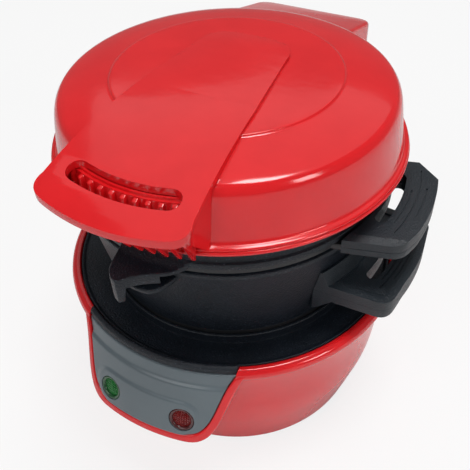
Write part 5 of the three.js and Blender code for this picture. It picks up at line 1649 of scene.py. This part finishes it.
@dataclass
class Lid:
    """Lid with its strap and grip, the grille under it, the rear cover and the heated underside."""

    crown_height: float = 31.4
    tip_radius: float = 91.5
    tip_half_width: float = 32.2
    tip_corner: float = 7.0
    strap_rear: float = 26.25
    strap_rear_half_width: float = 20.2
    strap_rise: float = 1.5
    strap_thickness: float = 3.0
    strap_fall: float = 12.3
    fall_start: float = -5.0
    fall_power: float = 2.8
    skirt_depth: float = 4.4
    skirt_inset: float = 0.6
    skirt_wall: float = 2.0
    rib_count: int = 11
    rib_half_angle: float = 18.2
    rib_thickness: float = 1.8
    rail_drop: float = 4.2
    rib_inner: float = 72.75
    rib_foot: float = 146.8
    bend_start: float = 150.0
    bend_height: float = 6.0
    slot_inner: float = 72.6
    slot_outer: float = 81.0
    slot_half_angle: float = 17.0
    cover_rear: float = 96.5
    cover_half_width: float = 30.0
    cover_wall: float = 2.2
    bead_line: tuple[Point, ...] = (
        (74.5, 0.0), (75.2, 0.3), (75.45, 0.9), (75.3, 1.5), (74.9, 1.8), (74.55, 1.9),
    )
    band_line: tuple[Point, ...] = (
        (74.5, 2.05), (74.9, 2.3), (74.95, 2.7), (74.6, 3.15), (73.9, 3.45), (73.1, 3.75), (72.65, 4.4),
    )
    side_line: tuple[Point, ...] = (
        (0.965, 0.18), (0.95, 0.4), (0.933, 0.66), (0.915, 0.775), (0.88, 0.838), (0.78, 0.897),
        (0.64, 0.95),
    )
    step_line: tuple[Point, ...] = (
        (0.632, 0.953), (0.626, 0.962), (0.621, 0.976), (0.612, 0.9815), (0.6, 0.984),
    )
    top_line: tuple[Point, ...] = ((0.6, 0.984), (0.4, 0.993), (0.2, 0.9985), (0.0, 1.0))

    def outer_line(self) -> list[Point]:
        """Draw the lid's outer profile, from the flange to the middle of the crown.

        Returns:
            Radius and height of each point.
        """
        def above(line: Sequence[Point]) -> list[Point]:
            """Draw a line whose heights are given above the flange."""
            return flowing([(radius, LEVELS.flange + height) for radius, height in line], 4)

        def across(line: Sequence[Point], steps: int) -> list[Point]:
            """Draw a line that is given by shares of the lid's radius and height."""
            radius, height = LEVELS.lid_radius, self.crown_height
            return flowing([(out * radius, LEVELS.flange + up * height) for out, up in line], steps)

        dome = [*across(self.side_line, 6), *across(self.step_line, 4), *across(self.top_line, 4)[1:]]
        return [*above(self.bead_line), *above(self.band_line), *dome]

    def room(self, name: str) -> bpy.types.Object:
        """Make the tool that keeps the strap and the cover clear of the shell."""
        return spin(name, [
            (0, 130.0), (75.75, 130.0), (75.75, 142.0), (74.55, 143.7), (72.68, 146.35), (71.55, 153.0),
            (70.3, 160.6), (68.95, 164.5), (66.2, 166.75), (47.5, 170.6), (45.9, 171.55), (30.0, 171.85),
            (0, 172.1),
        ])

    def shell(self) -> None:
        """Build the domed shell with its beaded flange and the step round its crown."""
        inner = [
            (70.2, LEVELS.flange), (70.1, 146.0), (68.8, 155.0), (67.6, 161.0), (66.0, 164.0),
            (63.0, 165.8), (48.0, 168.4), (30.0, 169.2), (0, 169.6),
        ]
        shell = spin("lid_dome", [*reversed(inner), *self.outer_line()])
        settle(shell, "lid", "red_plastic", "lid_shell", angle=38)

    def strap_height(self, y: float) -> float:
        """Return the height of the strap's upper face at a distance along the lid."""
        share = max(0.0, (self.fall_start - y) / (self.fall_start + self.tip_radius))
        return LEVELS.crown + self.strap_rise - self.strap_fall * share ** self.fall_power

    def strap_outline(self, inset: float) -> list[Point]:
        """Outline the strap and the grip from above.

        Args:
            inset: how far inside the edge.

        Returns:
            The points of the closed outline.
        """
        outer = self.tip_radius - inset
        angle = math.degrees(math.asin(self.tip_half_width / self.tip_radius))
        angle -= degrees_of(inset, self.tip_radius)
        front_angle = angle - degrees_of(self.tip_corner, self.tip_radius)
        rear, half = self.strap_rear - inset, self.strap_rear_half_width - inset
        rear_side = rear - self.strap_rear_half_width * 0.7
        waist = mix(self.strap_rear_half_width, self.tip_half_width, 0.4) - inset
        side = [(half, rear_side), (waist, -self.strap_rear), polar(outer - self.tip_corner, angle)]
        count = 10
        straight = []
        for (ax, ay), (bx, by) in zip(side, side[1:]):
            straight += [(mix(ax, bx, i / count), mix(ay, by, i / count)) for i in range(count)]
        corner = turn(side[-1], polar(outer, angle), polar(outer, front_angle), 8)[:-1]
        back = curve((0, rear), (half / 2, rear), (half, rear), (half, rear_side))[:-1]
        right = [*back, *straight, *corner, *arc(outer, front_angle, 0, 12)]
        return [*right, *[(-x, y) for x, y in reversed(right[1:-1])]]

    def handle(self) -> None:
        """Build the strap, the slotted grip and the side walls that run down to the flange."""
        strap = slab("strap_and_grip", self.strap_outline(0.0), 0.0, self.strap_thickness)
        half = self.slot_half_angle
        slot = arc_slot(self.slot_inner, self.slot_outer, -half, half, 24)
        cut(strap, slab("grip_slot", slot, -5, 10))
        bevel(strap, 0.6, 50, 4)
        slice_along(strap, 1, -90.0, 26.0, 2.5)
        drape(strap, lambda spot: (
            spot.x, spot.y, self.strap_height(spot.y) - self.strap_thickness + spot.z,
        ))
        ring = slab("skirt", self.strap_outline(self.skirt_inset), 120.0, 180.0)
        cut(ring, slab("skirt_room", self.strap_outline(self.skirt_inset + self.skirt_wall), 110.0, 190.0))
        gusset_foot, gusset_rear, gusset_front = LEVELS.flange + 0.4, -52.3, -67.7
        side_start = -self.tip_radius + self.tip_corner + self.skirt_inset
        line = [mix(gusset_front, side_start, i / 6) for i in range(7)]
        top = [(y, self.strap_height(y) - 1.5) for y in (gusset_rear, *line, -self.tip_radius - 2)]
        foot = [
            (-self.tip_radius - 2, self.strap_height(-self.tip_radius) - self.skirt_depth),
            (side_start, self.strap_height(side_start) - self.skirt_depth),
            (gusset_front, gusset_foot), (gusset_rear, gusset_foot),
        ]
        combine(ring, slab("skirt_side", [*top, *foot], -80, 80, Plane.SIDE), how="INTERSECT")
        combine(strap, ring)
        cut(strap, self.room("lid_room"))
        settle(strap, "lid", "red_plastic", "lid_handle")

    def grille(self) -> None:
        """Build the heat grille under the grip: one blade copied along a curved wall with a rail."""
        inner, half, thickness = self.rib_inner, self.rib_half_angle, self.rib_thickness

        def under(radius: float, drop: float) -> Point:
            """Place a point in the side view, a drop below the strap's upper face."""
            return -radius, self.strap_height(-radius) - drop

        def wall(name: str, near: float, far: float, drop: float) -> bpy.types.Object:
            """Build a curved wall that reaches up towards the strap.

            Args:
                name: its name.
                near: radius of its inner side.
                far: radius of its outer side.
                drop: how far below the strap's upper face it ends.

            Returns:
                The wall.
            """
            spread = half + 0.7
            outline = [*arc(near, -spread, spread, 24), *arc(far, spread, -spread, 24)]
            return slab(name, outline, self.rib_foot, under(near, drop)[1])

        comb = wall("rib_wall", inner, inner + 0.9, self.strap_thickness + 0.15)
        combine(comb, wall("rib_rail", inner + 0.4, inner + 1.9, self.rail_drop))
        blade = slab("blade", rounded([
            (-inner - 0.2, self.rib_foot), (-74.8, 144.3), (-76.0, 142.4), (-76.1, 140.2, 0.5),
            (-77.3, 140.2, 0.8), (*under(88.0, self.skirt_depth + 1.2), 1.5),
            under(87.0, self.skirt_depth - 0.6), (-76.4, 156.2),
            under(76.4, self.rail_drop), under(inner + 0.4, self.rail_drop),
        ], 5), -thickness / 2, thickness / 2, Plane.SIDE)
        bevel(blade, 0.35, 50, 2)
        for i in range(self.rib_count):
            copy = copy_of(blade, "blade_copy")
            angle = math.radians(mix(-half, half, i / (self.rib_count - 1)))
            copy.data.transform(Matrix.Rotation(angle, 4, "Z"))
            combine(comb, copy)
        discard(blade)

        def place(spot: Vector) -> Spot:
            """Bend the blades so that their upper ends follow the strap.

            Args:
                spot: a spot of the grille.

            Returns:
                Its new place.
            """
            bend = self.strap_height(spot.y) - self.strap_height(-math.hypot(spot.x, spot.y))
            share = min(1.0, max(0.0, (spot.z - self.bend_start) / self.bend_height))
            return spot.x, spot.y, spot.z + bend * share

        drape(comb, place)
        room = slab("blade_room", self.strap_outline(self.skirt_inset + self.skirt_wall + 0.2), 120.0, 180.0)
        combine(comb, room, how="INTERSECT")
        settle(comb, "lid", "red_plastic", "handle_grille")

    def cover(self) -> None:
        """Build the cover over the hinge."""
        rear, half, wall = self.cover_rear, self.cover_half_width, self.cover_wall
        edge_y = LEVELS.egg_ring_neck

        def top_at(y: float) -> float:
            """Return the height of the cover's sloping top at a distance along the lid."""
            return mix(LEVELS.crown - 7.6, LEVELS.crown - 16.2, (y - edge_y) / (rear - edge_y))

        def place(spot: Vector) -> Spot:
            """Let a flat piece follow the sloping top."""
            return spot.x, spot.y, spot.z + top_at(spot.y)

        cover = slab("hinge_cover", rounded([
            (-half, 40), (half, 40), (half, rear, 9), (-half, rear, 9),
        ], 8), -40, 0)
        bevel(cover, 1.8, 60, 5)
        slice_along(cover, 1, 44, 92, 6)
        drape(cover, place)
        room = slab("cover_room", rounded([
            (-half + wall, 0), (half - wall, 0),
            (half - wall, rear - wall, 8), (-half + wall, rear - wall, 8),
        ], 8), -60, -wall)
        slice_along(room, 1, 4, 92, 10)
        cut(cover, drape(room, place))
        foot, above = LEVELS.flange + 0.2, 190
        side = [
            (edge_y - wall, foot), (75.0, foot), (rear + 2, top_at(rear) - 12.6), (rear + 2, above),
            (edge_y - wall, above),
        ]
        combine(cover, slab("cover_side", side, -80, 80, Plane.SIDE), how="INTERSECT")
        cut(cover, self.room("cover_lid_room"))
        settle(cover, "lid", "red_plastic", "rear_cover")

    def underside(self) -> None:
        """Build the upper heating plate."""
        plate = spin("upper_plate", [
            (0, 138.0), *flowing([(51.6, 138.0), (52.8, 138.15), (54.0, 139.0), (54.6, 140.4)], 4),
            (55.2, LEVELS.liner), (55.2, 151.0), (59.6, 151.0), (59.6, 152.5), (51.6, 152.5),
            (50.1, 141.6), (0, 141.6),
        ])
        settle(plate, "lid", "coated_plate", "upper_heating_plate")

    def build(self) -> None:
        """Build every piece of the lid."""
        self.shell()
        self.handle()
        self.grille()
        self.cover()
        self.underside()


# Scene


@dataclass(frozen=True)
class SoftBox:
    """A square lamp: its name, its place and side in metres, and its power in watts."""

    name: str
    place: Spot
    size: float
    power: float


@dataclass
class Studio:
    """Camera, pale floor and soft lamps."""

    camera_place: Spot = (113.34, -204.47, 299.545)
    right: Spot = (0.88867, 0.45751, -0.03084)
    above: Spot = (-0.29323, 0.61870, 0.72885)
    forward: Spot = (-0.35253, 0.63867, -0.68398)
    focal_length: float = 49.79
    sensor_width: float = 36.0
    floor_size: float = 6.0
    floor_roughness: float = 0.7
    floor_dark: Colour = (0.86, 0.86, 0.86)
    floor_pale: Colour = (0.9, 0.9, 0.9)
    floor_glow: float = 0.8
    surround_light: float = 0.2
    surround_seen: float = 1.0
    aim: Spot = (0.0, 0.0, 0.09)
    lamps: tuple[SoftBox, ...] = (
        SoftBox("top_box", (-0.3, 0.9, 2.2), 3.0, 13.0),
        SoftBox("main_box", (0.25, 0.05, 1.55), 0.45, 9.0),
        SoftBox("key_box", (-0.25, -1.2, 1.2), 1.0, 7.0),
        SoftBox("side_box", (1.25, -0.35, 0.75), 0.35, 3.5),
    )

    def camera(self) -> None:
        """Place the camera at the photograph's viewing angle."""
        bpy.ops.object.camera_add()
        camera = bpy.context.object
        camera.data.lens = self.focal_length
        camera.data.sensor_width = self.sensor_width
        camera.data.clip_start = 0.01
        back = Vector(self.forward) * -1
        stand = Matrix((Vector(self.right), Vector(self.above), back)).transposed().to_4x4()
        camera.matrix_world = Matrix.Translation(AXIS + Vector(self.camera_place) * MM) @ stand
        bpy.context.scene.camera = camera

    def floor(self) -> None:
        """Lay the pale floor, which glows softly where the camera sees it."""
        bpy.ops.object.select_all(action="DESELECT")
        bpy.ops.mesh.primitive_plane_add(size=self.floor_size, location=(0, 0, 0))
        floor = bpy.context.object
        floor.name = "floor"
        material = bpy.data.materials.new("pale_floor")
        material.use_nodes = True
        tree = material.node_tree
        cloud = add(tree, "TexNoise", Scale=3.0)
        colour = ramp(tree, cloud.outputs["Fac"], (0.0, self.floor_dark), (1.0, self.floor_pale))
        shader = tree.nodes["Principled BSDF"]
        feed(tree, shader, {"Roughness": self.floor_roughness, "Base Color": colour})
        path = add(tree, "LightPath")
        share = add(tree, "Math")
        share.operation = "MULTIPLY"
        tree.links.new(path.outputs["Is Camera Ray"], share.inputs[0])
        share.inputs[1].default_value = self.floor_glow
        white = add(tree, "Emission", Strength=1.0)
        blend = add(tree, "MixShader", Fac=share.outputs[0])
        tree.links.new(shader.outputs["BSDF"], blend.inputs[1])
        tree.links.new(white.outputs["Emission"], blend.inputs[2])
        feed(tree, tree.nodes["Material Output"], {"Surface": blend.outputs["Shader"]})
        floor.data.materials.append(material)

    def hang(self, soft_box: SoftBox) -> None:
        """Hang a soft box that faces the object.

        Args:
            soft_box: its name, place, size and power.
        """
        bpy.ops.object.light_add(type="AREA", location=soft_box.place)
        lamp = bpy.context.object
        lamp.name = soft_box.name
        lamp.data.shape = "SQUARE"
        lamp.data.size = soft_box.size
        lamp.data.energy = soft_box.power
        way = Vector(self.aim) - Vector(soft_box.place)
        lamp.rotation_euler = way.to_track_quat("-Z", "Y").to_euler()

    def world(self) -> None:
        """Give the scene a white surround that lights it softly."""
        world = bpy.data.worlds.new("white_surround")
        bpy.context.scene.world = world
        world.use_nodes = True
        tree = world.node_tree
        path = add(tree, "LightPath")
        seen = add(tree, "Math")
        seen.operation = "MAXIMUM"
        tree.links.new(path.outputs["Is Camera Ray"], seen.inputs[0])
        tree.links.new(path.outputs["Is Transmission Ray"], seen.inputs[1])
        level = add(
            tree, "MapRange", Value=seen.outputs[0], To_Min=self.surround_light, To_Max=self.surround_seen,
        )
        feed(tree, tree.nodes["Background"], {
            "Color": (1.0, 1.0, 1.0, 1.0),
            "Strength": level.outputs["Result"],
        })

    def build(self) -> None:
        """Set up the whole studio."""
        self.camera()
        self.floor()
        self.world()
        for soft_box in self.lamps:
            self.hang(soft_box)
        bpy.context.scene.view_settings.view_transform = "Standard"


def clear_table() -> None:
    """Remove what a new file starts with."""
    for name in ("Cube", "Light", "Camera"):
        spare = bpy.data.objects.get(name)
        if spare:
            bpy.data.objects.remove(spare, do_unlink=True)


def dress_nodes() -> None:
    """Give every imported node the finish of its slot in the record."""
    slots = {row["node"]: row["material_slot"] for row in frame["record"]["subparts"]}
    for name, node in frame["nodes"].items():
        for piece in node if isinstance(node, (list, tuple)) else [node]:
            material = SLOT_FINISHES[slots[name]].material()
            piece.data.materials.clear()
            piece.data.materials.append(material)


def main() -> None:
    """Build every assembly and the studio."""
    clear_table()
    dress_nodes()
    for assembly in (Base(), Cup(), EggRing(), SwingPlate(), Lid()):
        log.info("building %s", type(assembly).__name__)
        assembly.build()
    Studio().build()


if __name__ == "__main__":
    main()
